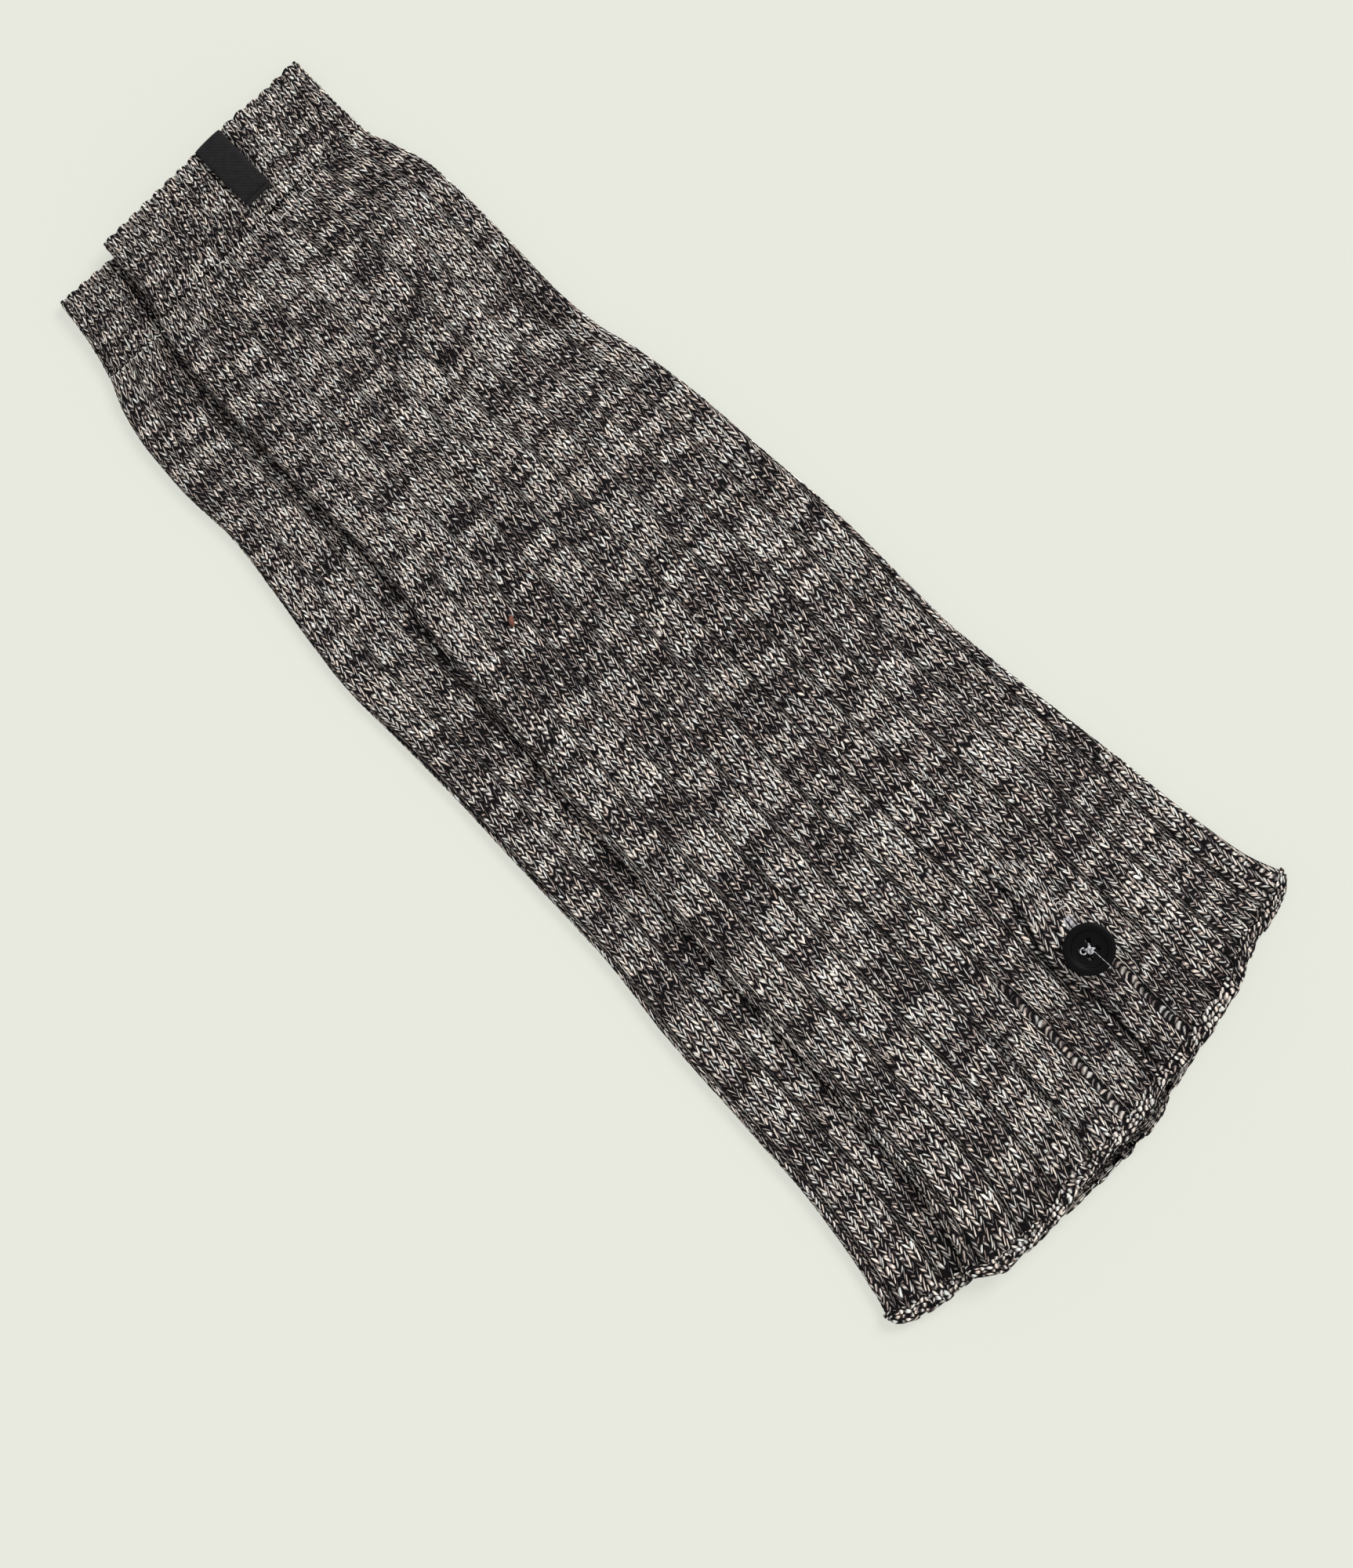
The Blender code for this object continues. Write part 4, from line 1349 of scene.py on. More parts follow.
    def make(self, name: str, material: Material) -> Object:
        """Build the ring as one closed mesh.

        The coarse rows meet every few of the fine ones, and a column of
        many-sided faces joins the two at each side.
        """
        step = self.per_course * self.coarse_step
        begin = self.first - 1 if self.rim else self.first
        fine_rows = begin + np.arange((self.last - begin) * self.per_course + 1) / self.per_course
        surface = Surface()
        points, marks = self.outside(fine_rows, self.fine)
        outer = surface.add_points(points, **marks)
        inner_rows = np.unique(np.append(np.arange(self.first, self.last, self.inner_step), self.last))
        inner_rows = inner_rows.astype(float)
        fine_share = self.sheet_share(points)
        row_share = np.linspace(1.0, 0.0, len(fine_rows))
        whole = self.fine_end - self.fine_start == self.total
        wide = 0.94 if whole else 0.80
        if whole:
            outer[:, -1] = outer[:, 0]
        surface.add_grid(outer, self.drawn(self.fine, fine_rows), flat_sheet(wide * fine_share, row_share))
        # The inner surface is half darkened with painted shade, for the shade inside the tube.
        inner = surface.add_points(self.inside(inner_rows, self.fine), sunk=0.5, plain=1.0)
        ends = [outer[0], outer[-1]]
        if whole:
            inner[:, -1] = inner[:, 0]
            inner_map = self.drawn(self.fine, inner_rows)
        else:
            points, marks = self.outside(fine_rows[::step], self.coarse)
            coarse = surface.add_points(points[:, 1:-1], **marks_inside(marks))
            at = 0.82 + 0.12 * self.sheet_share(points)
            drawn = self.drawn(self.coarse, fine_rows[::step])
            sheet = flat_sheet(at, row_share[::step])
            surface.add_grid(coarse, drawn[:, 1:-1], sheet[:, 1:-1])
            self.join(surface, (outer[:, -1], coarse[:, 0]), drawn[:, 0], (sheet, 0), step)
            self.join(surface, (outer[:, 0], coarse[:, -1]), drawn[:, -1], (sheet, -2), step)
            # The back's inner surface is half darkened with painted shade too.
            back = surface.add_points(self.inside(inner_rows, self.coarse)[:, 1:-1], sunk=0.5, plain=1.0)
            inner = np.concatenate((inner, back, inner[:, :1]), axis=1)
            inner_map = np.concatenate(
                (self.drawn(self.fine, inner_rows), self.drawn(self.coarse, inner_rows)), axis=1
            )
            ends = [np.concatenate((outer[r], coarse[r], outer[r, :1])) for r in (0, -1)]
        if self.rim:
            inner[0] = ends[0]
        self.close(surface, inner, inner_map, inner_rows, ends)
        return surface.make(name, material)

    def drawn(self, lines: Lines, rows: Array) -> Array:
        """Places on the stitch map for the corners of each cell."""
        return lines.cells(rows)

    @staticmethod
    def sheet_share(points: Array) -> Array:
        """How far round each line is, from 0 to 1, by distances at the middle row."""
        run = distances(points[len(points) // 2])
        return run / run[-1]

    @staticmethod
    def join(
        surface: Surface, edge: tuple[Array, Array], drawn: Array, laid: tuple[Array, int], step: int
    ) -> None:
        """Join a fine edge to the coarse line beside it with many-sided faces.

        Args:
            surface: The mesh in the making.
            edge: The fine edge's points, and the coarse line's.
            drawn: Stitch map corners of the column of cells between the two.
            laid: The coarse part's flat sheet and its column of cells.
            step: How many fine faces meet one coarse face.
        """
        fine, coarse = edge
        sheet, column = laid
        right = column == 0
        near, far = ((0, 1), (3, 2)) if right else ((3, 2), (0, 1))
        line, other = (column, column + 1) if right else (column + 1, column)
        span = step * np.arange(len(coarse) - 1)[:, None] + np.arange(step + 1)[None, :]
        share = (np.arange(step + 1) / step)[None, :, None]

        def ring(along: Array, low: Array, top: Array) -> Array:
            """What goes round each face: down the fine edge and back up the coarse one."""
            values = np.concatenate((along, low[:, None], top[:, None]), axis=1)
            return values if right else values[:, ::-1]

        def between(top: Array, low: Array) -> Array:
            """Even steps from the top to the low end of each face."""
            return top[:, None] + share * (low - top)[:, None]

        drawn_along = between(drawn[:, near[0]], drawn[:, near[1]])
        laid_along = between(sheet[:-1, line], sheet[1:, line])
        surface.add_faces(
            ring(fine[span], coarse[1:], coarse[:-1]),
            ring(drawn_along, drawn[:, far[1]], drawn[:, far[0]]),
            ring(laid_along, sheet[1:, other], sheet[:-1, other]),
        )

    @staticmethod
    def close(surface: Surface, inner: Array, drawn: Array, rows: Array, ends: list[Array]) -> None:
        """Add the inner surface and the walls at both ends."""
        share = steps(inner.shape[1])
        sheet = flat_sheet(share, 0.96 + 0.02 * steps(len(rows)))[..., ::-1]
        surface.add_grid(inner, drawn, sheet, turned=True)
        for outer, row, low, turned in ((ends[0], 0, 0.985, True), (ends[1], -1, 0.992, False)):
            if np.array_equal(outer, inner[row]):
                continue
            wall = np.stack((outer, inner[row]))
            cell = drawn[row][None].copy()
            cell[..., 1] = rows[row] + 0.5
            strip = flat_sheet(share, np.array([low, low + 0.005]))[..., ::-1]
            surface.add_grid(wall, cell, strip, turned=turned, smooth=False)


def flat_sheet(across: Array, along: Array) -> Array:
    """Places on a flat sheet for a grid of points: across for columns and along for rows."""
    return np.stack(np.broadcast_arrays(across[None, :], along[:, None]), axis=-1)


def marks_inside(marks: dict[str, Array | float]) -> dict[str, Array | float]:
    """What rides on a grid of points, without its first and last columns."""
    return {key: value[:, 1:-1] if isinstance(value, np.ndarray) else value for key, value in marks.items()}


@dataclass
class BoundHem(KnitRing):
    """The bound-off edge: a roll of loops that wrap over the end of the knit.

    Rows from 0 to 1 run down its outer face, and from 1 to 2 round its rim. Each
    wale ends in one loop, whose two legs are drawn together at the rim.
    """

    leg_stops: tuple[float, ...] = (0.0, 0.2, 0.5, 0.8)
    purl_stops: tuple[float, ...] = ()
    height: float = 3.2
    gap: float = 0.1
    overlap: float = 1.5  # how far loops reach up over the knit
    wrap: float = 0.75  # height of a leg's crown
    loft: float = 0.3  # height of a loop's middle over its sides
    bulge: float = 0.8  # how far the roll's middle stands over its sides
    swell: float = 0.35  # how far its height changes round the ring
    drift: float = 0.7  # how far its end does
    pinch: float = 0.30  # how far legs lean to their wale's middle, in wales
    slant: float = 0.45  # how far whole loops lean, in wales
    ragged: float = 1.1  # how far loops' ends differ
    grains: float = 2.4  # grains drawn along a leg, from the knit to the rim

    def loops(self, lines: Lines) -> tuple[Array, Array, Array, Array]:
        """Each line's place in its loop, from 0 to 1, and the loop's random lean, length and height."""
        wale = lines.wale + lines.phase
        table = np.random.default_rng(self.seed + 3).uniform(-1.0, 1.0, (3, 256))
        lean, long, tall = table[:, np.floor(wale).astype(int) % 256]
        return np.mod(wale, 1.0), lean, long, tall

    def place(self, rows: Array, lines: Lines) -> tuple[Array, Array, Array]:
        """Where each row crosses each line: the last ring, each loop pinched and leaning."""
        part, lean, _, _ = self.loops(lines)
        down = np.clip(rows, 0.0, 1.6)[:, None]
        pull = -0.5 * self.pinch * np.sin(2.0 * math.pi * part)[None, :] * (down - 0.2)
        pull = pull + self.slant * (lean * np.sin(math.pi * part) ** 2)[None, :] * (down - 0.5)
        rib = (lines.wale[None, :] + pull) / self.ribbing.per_rib
        rib = rib + 0.25 * self.noise(lines, rows, Waver.LOOPS)
        v = np.full(rib.shape, float(self.ribbing.last_row))
        return v, rib, self.ribbing.lay.line_y(v, np.full_like(v, 0.5))

    def outside(self, rows: Array, lines: Lines) -> tuple[Array, dict[str, Array]]:
        """Points of the roll: a bulging face, a half round rim, and loops across both."""
        lay = self.ribbing.lay
        v, rib, _ = self.place(rows, lines)
        points, normal = lay.at_run(v, self.ribbing.run(v, rib))
        up = 0.5 + 0.5 * normal[..., 2]
        down = np.clip(rows, 0.0, 1.0)[:, None]
        turn = math.pi * np.clip(rows - 1.0, 0.0, 1.0)[:, None]
        part, _, long, tall = self.loops(lines)
        across = np.mod(2.0 * part, 1.0)[None, :]
        arch = np.sin(math.pi * np.clip(across, 0.02, 0.98)) ** 0.7
        dome = (np.sin(math.pi * np.clip(part, 0.02, 0.98)) ** 0.6)[None, :]
        body = self.bulge * np.sin(math.pi * np.clip(0.22 + 0.66 * down, 0.0, 1.0)) - 0.25
        height = body + self.wrap * (arch - 0.9) + self.loft * dome * (1.0 + tall[None, :])
        height = height + self.swell * self.noise(lines, rows, Waver.ROLL)
        height = np.where(normal[..., 2] < 0, np.minimum(height, 0.0), height)
        drift = self.drift * self.noise(lines, rows, Waver.ROLL_END)
        above = self.overlap * up * (0.35 + 0.65 * dome + 0.5 * long[None, :])
        reach = self.gap + down * (self.height + self.ragged * 0.5 * long[None, :] + drift)
        reach = reach - (1.0 - down) * above + (self.half_wall + 0.8 * dome - 0.5) * np.sin(turn)
        points = points + normal * self.rolled(height, turn)[..., None]
        points[..., 1] -= reach
        # Painted shade between a loop's two legs and at its sides.
        sunk = 0.30 * (1.0 - arch) + 0.15 * (1.0 - dome)
        return points, {"sunk": np.clip(sunk, 0.0, 1.0) * np.ones_like(height), "shade": 0.05}

    def inside(self, rows: Array, lines: Lines) -> Array:
        """Points of the plain inner surface."""
        v, rib, _ = self.place(rows, lines)
        points, normal = self.ribbing.lay.at_run(v, self.ribbing.run(v, rib))
        points = points - normal * self.built
        points[..., 1] -= self.gap + np.clip(rows, 0.0, 1.0)[:, None] * self.height
        return points

    def drawn(self, lines: Lines, rows: Array) -> Array:
        """Stitch map: each leg has its own few grains in line."""
        cells = lines.cells(rows)
        leg = np.floor(cells[..., 0].mean(axis=2, keepdims=True)).astype(int)
        start = np.random.default_rng(self.seed + 5).uniform(0.0, 1.0, 256)[leg % 256]
        return np.stack((HEM_MAP + start + self.grains * cells[..., 1], cells[..., 0]), axis=-1)


class FlapRow(NamedTuple):
    """One row of the placket flap: its free left edge and its rooted right edge."""

    along: float
    free_x: float
    root_x: float


FLAP_ROWS = (
    FlapRow(-128.3, 28.9, 39.0),
    FlapRow(-137.2, 29.0, 39.2),
    FlapRow(-148.8, 26.6, 38.6),
    FlapRow(-158.6, 23.4, 37.8),
    FlapRow(-166.0, 22.1, 37.2),
    FlapRow(-175.7, 23.5, 37.0),
    FlapRow(-181.7, 25.3, 37.0),
    FlapRow(-190.7, 25.8, 37.0),
    FlapRow(-202.3, 25.3, 37.0),
    FlapRow(-210.6, 24.8, 37.0),
)


def edge_strips(upper: Array, lower: Array, facing: bool) -> list[tuple[Array, bool]]:
    """The strips of points that close a thin piece's four edges, and whether each is turned.

    Args:
        upper: Point numbers of one face's grid.
        lower: Point numbers of the other's.
        facing: Whether the upper grid's own faces look away from the lower one.
    """
    edges = (
        (upper[0], lower[0], True), (upper[-1], lower[-1], False),
        (upper[:, 0], lower[:, 0], False), (upper[:, -1], lower[:, -1], True),
    )
    return [(np.stack((high, low)), turned == facing) for high, low, turned in edges]


@dataclass
class PlacketFlap:
    """The narrow flap that closes the slit: four wales wide, rooted at its right."""

    lay: Lay
    form: StitchForm
    rows: tuple[FlapRow, ...] = FLAP_ROWS
    wales: int = 4
    course: float = 2.36
    courses: int = 37
    per_course: int = 4
    thickness: float = 2.3  # of its face over the front
    shoulder: float = 1.5  # how far the free edge rounds over
    root_share: float = 0.30  # of its width that slopes into the front
    rise: float = 11.0  # over how much of its length the upper end rises
    settle: float = 7.0  # and the low end settles
    gutter: float = 0.25  # depth of the groove down its middle
    tuck: float = 0.5  # how far the upper end tucks down
    tucked: float = -130.0  # from where on it is tucked all the way
    pale: float = 0.12  # how much paler its yarn is over the buttonhole
    pale_span: tuple[float, float] = (-168.0, -130.0)
    bed: float = 0.3  # gap below it
    seed: int = 41

    def edge(self, name: str, y: Array) -> Array:
        """The free or the rooted edge at each y."""
        at = np.interp(-y, [-row.along for row in self.rows], np.arange(len(self.rows)))
        return curve_through([getattr(row, name) for row in self.rows], at)

    def make(self, name: str, material: Material) -> Object:
        """Build the flap as one closed mesh: a stitched face over a plain underside.

        The face stands a constant height over the front, times a quarter round at
        the free edge, an eased slope at the root, and eased ends.
        """
        lines = Lines(1, 1 + self.wales, 1000, 0.5)
        rows = np.arange(self.courses * self.per_course + 1) / self.per_course
        lean = self.form.lean * soft_noise(lines.wale[None, :] / 3.0, rows[:, None] / 7.0, self.seed)
        course = rows[:, None] + self.form.shear * (lines.down - 0.5)[None, :] + lean
        y = self.rows[0].along - self.course * np.clip(course, 0.0, self.courses)
        free, root = self.edge("free_x", y), self.edge("root_x", y)
        share = (lines.wale[None, :] - 1.0) / self.wales
        x = free + share * (root - free)
        ground = self.lay.front_height(x, y)
        rounded = np.clip((x - free) / self.shoulder, 0.0, 1.0)
        stand = np.sqrt(1.0 - (1.0 - rounded) ** 2)
        stand = stand * (1.0 - 0.95 * ease((share - 1.0 + self.root_share) / self.root_share))
        stand = stand * ease((self.rows[0].along - y + 1.0) / self.rise)
        stand = stand - self.tuck * ease((y - self.tucked + 5.0) / 5.0)
        low_end = self.rows[0].along - self.course * self.courses
        stand = stand * (0.25 + 0.75 * ease((y - low_end) / self.settle))
        face = self.thickness * stand + self.form.proud + self.form.leg * (lines.leg_height(rows) - 1.0)
        gutter = np.exp(-((share * self.wales - 2.0) / 0.25) ** 2)
        face = face - self.gutter * gutter
        bed = np.minimum(self.bed, face - 0.5)
        surface = Surface()
        low, high = self.pale_span
        pale = self.pale * ease((y - low) / 20.0) * ease((high - y) / 8.0)
        # Painted shadow along the free edge, and painted shade down the gutter.
        side = 0.9 * np.exp(-((x - free) / 0.45) ** 2)
        top = surface.add_points(
            np.stack((x, y, ground + face), axis=-1), sunk=np.maximum(0.3 * gutter, side), shade=pale
        )
        lower = np.stack((x, y, ground + bed), axis=-1)
        sheet = flat_sheet(0.9 * share[0], rows / rows[-1])
        surface.add_grid(top, lines.cells(rows), sheet)
        # The underside is half darkened with painted shade.
        under = surface.add_points(lower, sunk=0.5, plain=1.0)
        surface.add_grid(under, lines.cells(rows), flat_sheet(0.91 + 0.05 * share[0], rows / rows[-1]), True)
        for strip, turned in edge_strips(top, under, True):
            flat = flat_sheet(steps(strip.shape[1]), np.array([0.97, 0.99]))[..., ::-1]
            surface.add_grid(strip, flat + WALL_MAP, flat, turned)
        return surface.make(name, material)


# ---- Trims ----


def tube_along(path: Array, radius: Array | float, sides: int = 8) -> tuple[Array, Array]:
    """Points of a round tube along a path, and the distance along it of each ring.

    Each ring is a circle across the path's direction, turned as little as can be.

    Args:
        path: Points of the middle line.
        radius: The tube's radius, or one for each point.
        sides: Points in each ring.

    Returns:
        Rings of points, and the distances.
    """
    direction = unit(np.gradient(path, axis=0))
    lead = np.array([0.0, 0.0, 1.0]) if np.abs(direction[:, 2]).max() < 0.9 else np.array([0.3, 0.9, 0.2])
    side = unit(np.cross(direction, lead))
    other = np.cross(side, direction)
    angle = 2.0 * math.pi * np.arange(sides) / sides
    spoke = np.cos(angle)[None, :, None] * side[:, None] + np.sin(angle)[None, :, None] * other[:, None]
    radius = np.broadcast_to(radius, len(path))[:, None, None]
    return path[:, None] + radius * spoke, distances(path)


def smooth_path(points: Array, count: int) -> Array:
    """A smooth curve through points: each coordinate read as a table's column."""
    at = np.linspace(0.0, len(points) - 1.0, count)
    return np.stack([curve_through(points[:, axis], at) for axis in range(3)], axis=-1)


def add_tube(surface: Surface, path: Array, radius: Array | float, sides: int = 8) -> None:
    """Add a closed tube along a path to a surface, with a flat cap at each end."""
    rings, run = tube_along(path, radius, sides)
    number = surface.add_points(rings)
    wrapped = np.concatenate((number, number[:, :1]), axis=1)
    drawn = flat_sheet(steps(sides + 1), run)
    sheet = flat_sheet(steps(sides + 1), run / run[-1])
    surface.add_grid(wrapped, drawn[..., ::-1], sheet)
    surface.add_faces(number[:1], np.zeros(2), np.zeros(2), smooth=False)
    surface.add_faces(number[-1:, ::-1], np.zeros(2), np.zeros(2), smooth=False)


@dataclass
class Button:
    """A four-hole button: a turned profile with a raised rim and a dished middle."""

    centre: tuple[float, float]
    floor: float
    radius: float = 9.0
    height: float = 2.8
    rim: float = 2.3
    dish: float = 0.7
    edge: float = 0.55
    hole: float = 1.05
    hole_offset: float = 2.8
    hole_turn: float = 55.0
    sides: int = 96

    def profile(self) -> Array:
        """Radius and height down the button, from the middle of its face to the middle of its back.

        The face is flat in the dish, rises in a half wave to the rim, and the rim's
        section is a half wave too. The edge is a half circle, pressed flat.
        """
        dish = self.height - self.dish
        inner = self.radius - self.rim
        slope = steps(9)
        climb_r = inner - 0.9 + 0.9 * slope
        climb_z = dish + (self.dish - 0.1) * ease(slope)
        crown = steps(8)[1:]
        crown_r = inner + (self.rim - self.edge) * crown
        crown_z = self.height - 0.1 + 0.1 * np.sin(math.pi * crown)
        turn = np.linspace(0.0, math.pi, 13)[1:]
        side_r = self.radius - self.edge + self.edge * np.sin(turn)
        side_z = 0.5 * self.height + (0.5 * self.height - 0.1) * np.cos(turn)
        r = np.concatenate(([0.0, 0.5 * inner], climb_r, crown_r, side_r, [0.0]))
        z = np.concatenate(([dish, dish], climb_z, crown_z, side_z, [0.1]))
        return np.stack((r, z), axis=-1)

    @property
    def dish_top(self) -> float:
        """Height of the dished middle."""
        return self.floor + self.height - self.dish

    def hole_places(self) -> Array:
        """The holes' middles, as x and y."""
        angle = np.radians(self.hole_turn + 90.0 * np.arange(4))
        return np.array(self.centre) + self.hole_offset * np.stack((np.cos(angle), np.sin(angle)), -1)

    def make(self, name: str, material: Material) -> Object:
        """Turn the profile, then cut the holes through it."""
        profile = self.profile()
        angle = 2.0 * math.pi * np.arange(self.sides) / self.sides
        ring, middle = profile[1:-1], np.array(self.centre)
        surface = Surface()
        x = middle[0] + ring[:, :1] * np.cos(angle)
        y = middle[1] + ring[:, :1] * np.sin(angle)
        z = np.broadcast_to(self.floor + ring[:, 1:], x.shape)
        number = surface.add_points(np.stack((x, y, z), axis=-1))
        wrapped = np.concatenate((number, number[:, :1]), axis=1)
        sheet = flat_sheet(steps(self.sides + 1), steps(len(ring)))
        surface.add_grid(wrapped, sheet, sheet)
        for end, row, turned in ((0, 0, False), (-1, -1, True)):
            tip = surface.add_points(np.array([[*middle, self.floor + profile[end, 1]]]))
            fan = np.stack((np.full(self.sides, tip[0]), wrapped[row, :-1], wrapped[row, 1:]), axis=-1)
            surface.add_faces(fan[:, ::-1] if turned else fan, np.zeros(2), np.zeros(2))
        button = surface.make(name, material)
        self.drill(button)
        return button

    def drill(self, button: Object) -> None:
        """Cut the four holes, each with a round bit, and keep the resulting mesh."""
        bits = []
        for x, y in self.hole_places():
            path = np.array([[x, y, self.floor - 2.0], [x, y, self.floor + self.height + 2.0]])
            surface = Surface()
            add_tube(surface, path, self.hole, 32)
            bit = surface.make("bit", button.data.materials[0])
            bits.append(bit)
            cut = button.modifiers.new("hole", "BOOLEAN")
            cut.operation, cut.solver, cut.object = "DIFFERENCE", "EXACT", bit
        graph = bpy.context.evaluated_depsgraph_get()
        mesh = bpy.data.meshes.new_from_object(button.evaluated_get(graph))
        button.modifiers.clear()
        button.data = mesh
        for bit in bits:
            bpy.data.objects.remove(bit, do_unlink=True)
        mesh.set_sharp_from_angle(angle=math.radians(35.0))


@dataclass
class ButtonThread:
    """Grey sewing thread: strands from hole to hole, a knot on them and a curled end."""

    button: Button
    radius: float = 0.23
    rise: float = 0.70  # of a strand's middle over the dish
    ride: float = 0.35  # of the second pair's strands over the first's
    sag: float = 0.12  # of the outer strands under the middle one
    dive: float = 1.2  # of a strand's ends into the holes
    fan: float = 0.36  # how far strands of one pair of holes spread
    fine: float = 0.10  # radius of the loose end
    reach: float = 0.68  # of the way to the holes' middles

    def strands(self) -> list[Array]:
        """Three arched strands for each pair of opposite holes: a half wave from hole to hole."""
        middle = np.array(self.button.centre)
        places = middle + self.reach * (self.button.hole_places() - middle)
        share = steps(25)
        bow = np.sin(math.pi * share)
        paths = []
        for pair in range(2):
            start, end = places[pair], places[pair + 2]
            sideways = unit(np.array([-(end - start)[1], (end - start)[0]]))
            for lane in (-1.0, 0.0, 1.0):
                flat = start + share[:, None] * (end - start) + lane * self.fan * bow[:, None] * sideways
                lift = (self.rise + self.ride * pair - self.sag * abs(lane)) * bow ** 0.35
                lift = lift - self.dive * (1.0 - bow) ** 6
                paths.append(np.column_stack((flat, self.button.dish_top + lift)))
        return paths

    def knot(self) -> list[Array]:
        """The knot: four flat rounds, tilted and shifted against one another."""
        turn = np.linspace(0.0, 1.7 * math.pi, 22)
        paths = []
        for number in range(4):
            size, start = 0.9 - 0.17 * number, 1.9 * number
            x = self.button.centre[0] - 0.2 + 0.15 * number + size * np.cos(turn + start)
            y = self.button.centre[1] - 0.5 + 0.12 * number + size * 1.1 * np.sin(turn + start)
            z = self.button.dish_top + 1.15 + 0.17 * number + 0.15 * np.sin(2.0 * turn + number)
            paths.append(np.stack((x, y, z), axis=-1))
        return paths

    def tail(self) -> Array:
        """The curled end: three quarters of a circle to the left of the knot."""
        turn = np.radians(np.linspace(-60.0, -320.0, 26))
        share = steps(26)
        x = self.button.centre[0] - 2.0 + (0.95 + 0.2 * share) * np.cos(turn)
        y = self.button.centre[1] + 0.9 + (0.95 + 0.2 * share) * np.sin(turn)
        z = self.button.dish_top + 0.45 + 0.5 * np.sin(math.pi * share)
        return np.stack((x, y, z), axis=-1)

    def loose_end(self) -> Array:
        """A fine end that runs from the knot over the rim and down to the cloth."""
        x, y = self.button.centre
        dish, top = self.button.dish_top, self.button.floor + self.button.height
        points = np.array([
            [x + 0.5, y - 1.4, dish + 0.7],
            [x + 0.7, y - 2.9, dish + 0.22],
            [x + 0.8, y - 5.2, dish + 0.2],
            [x + 0.9, y - 6.6, top + 0.15],
            [x + 1.0, y - 8.4, top + 0.15],
            [x + 1.05, y - 9.4, top - 0.9],
        ])
        return smooth_path(points, 40)

    def make(self, name: str, material: Material) -> Object:
        """Build the strands, the knot and the ends as one mesh."""
        surface = Surface()
        for path in self.strands() + self.knot() + [self.tail()]:
            add_tube(surface, path, self.radius, 8)
        add_tube(surface, self.loose_end(), self.fine, 6)
        return surface.make(name, material)


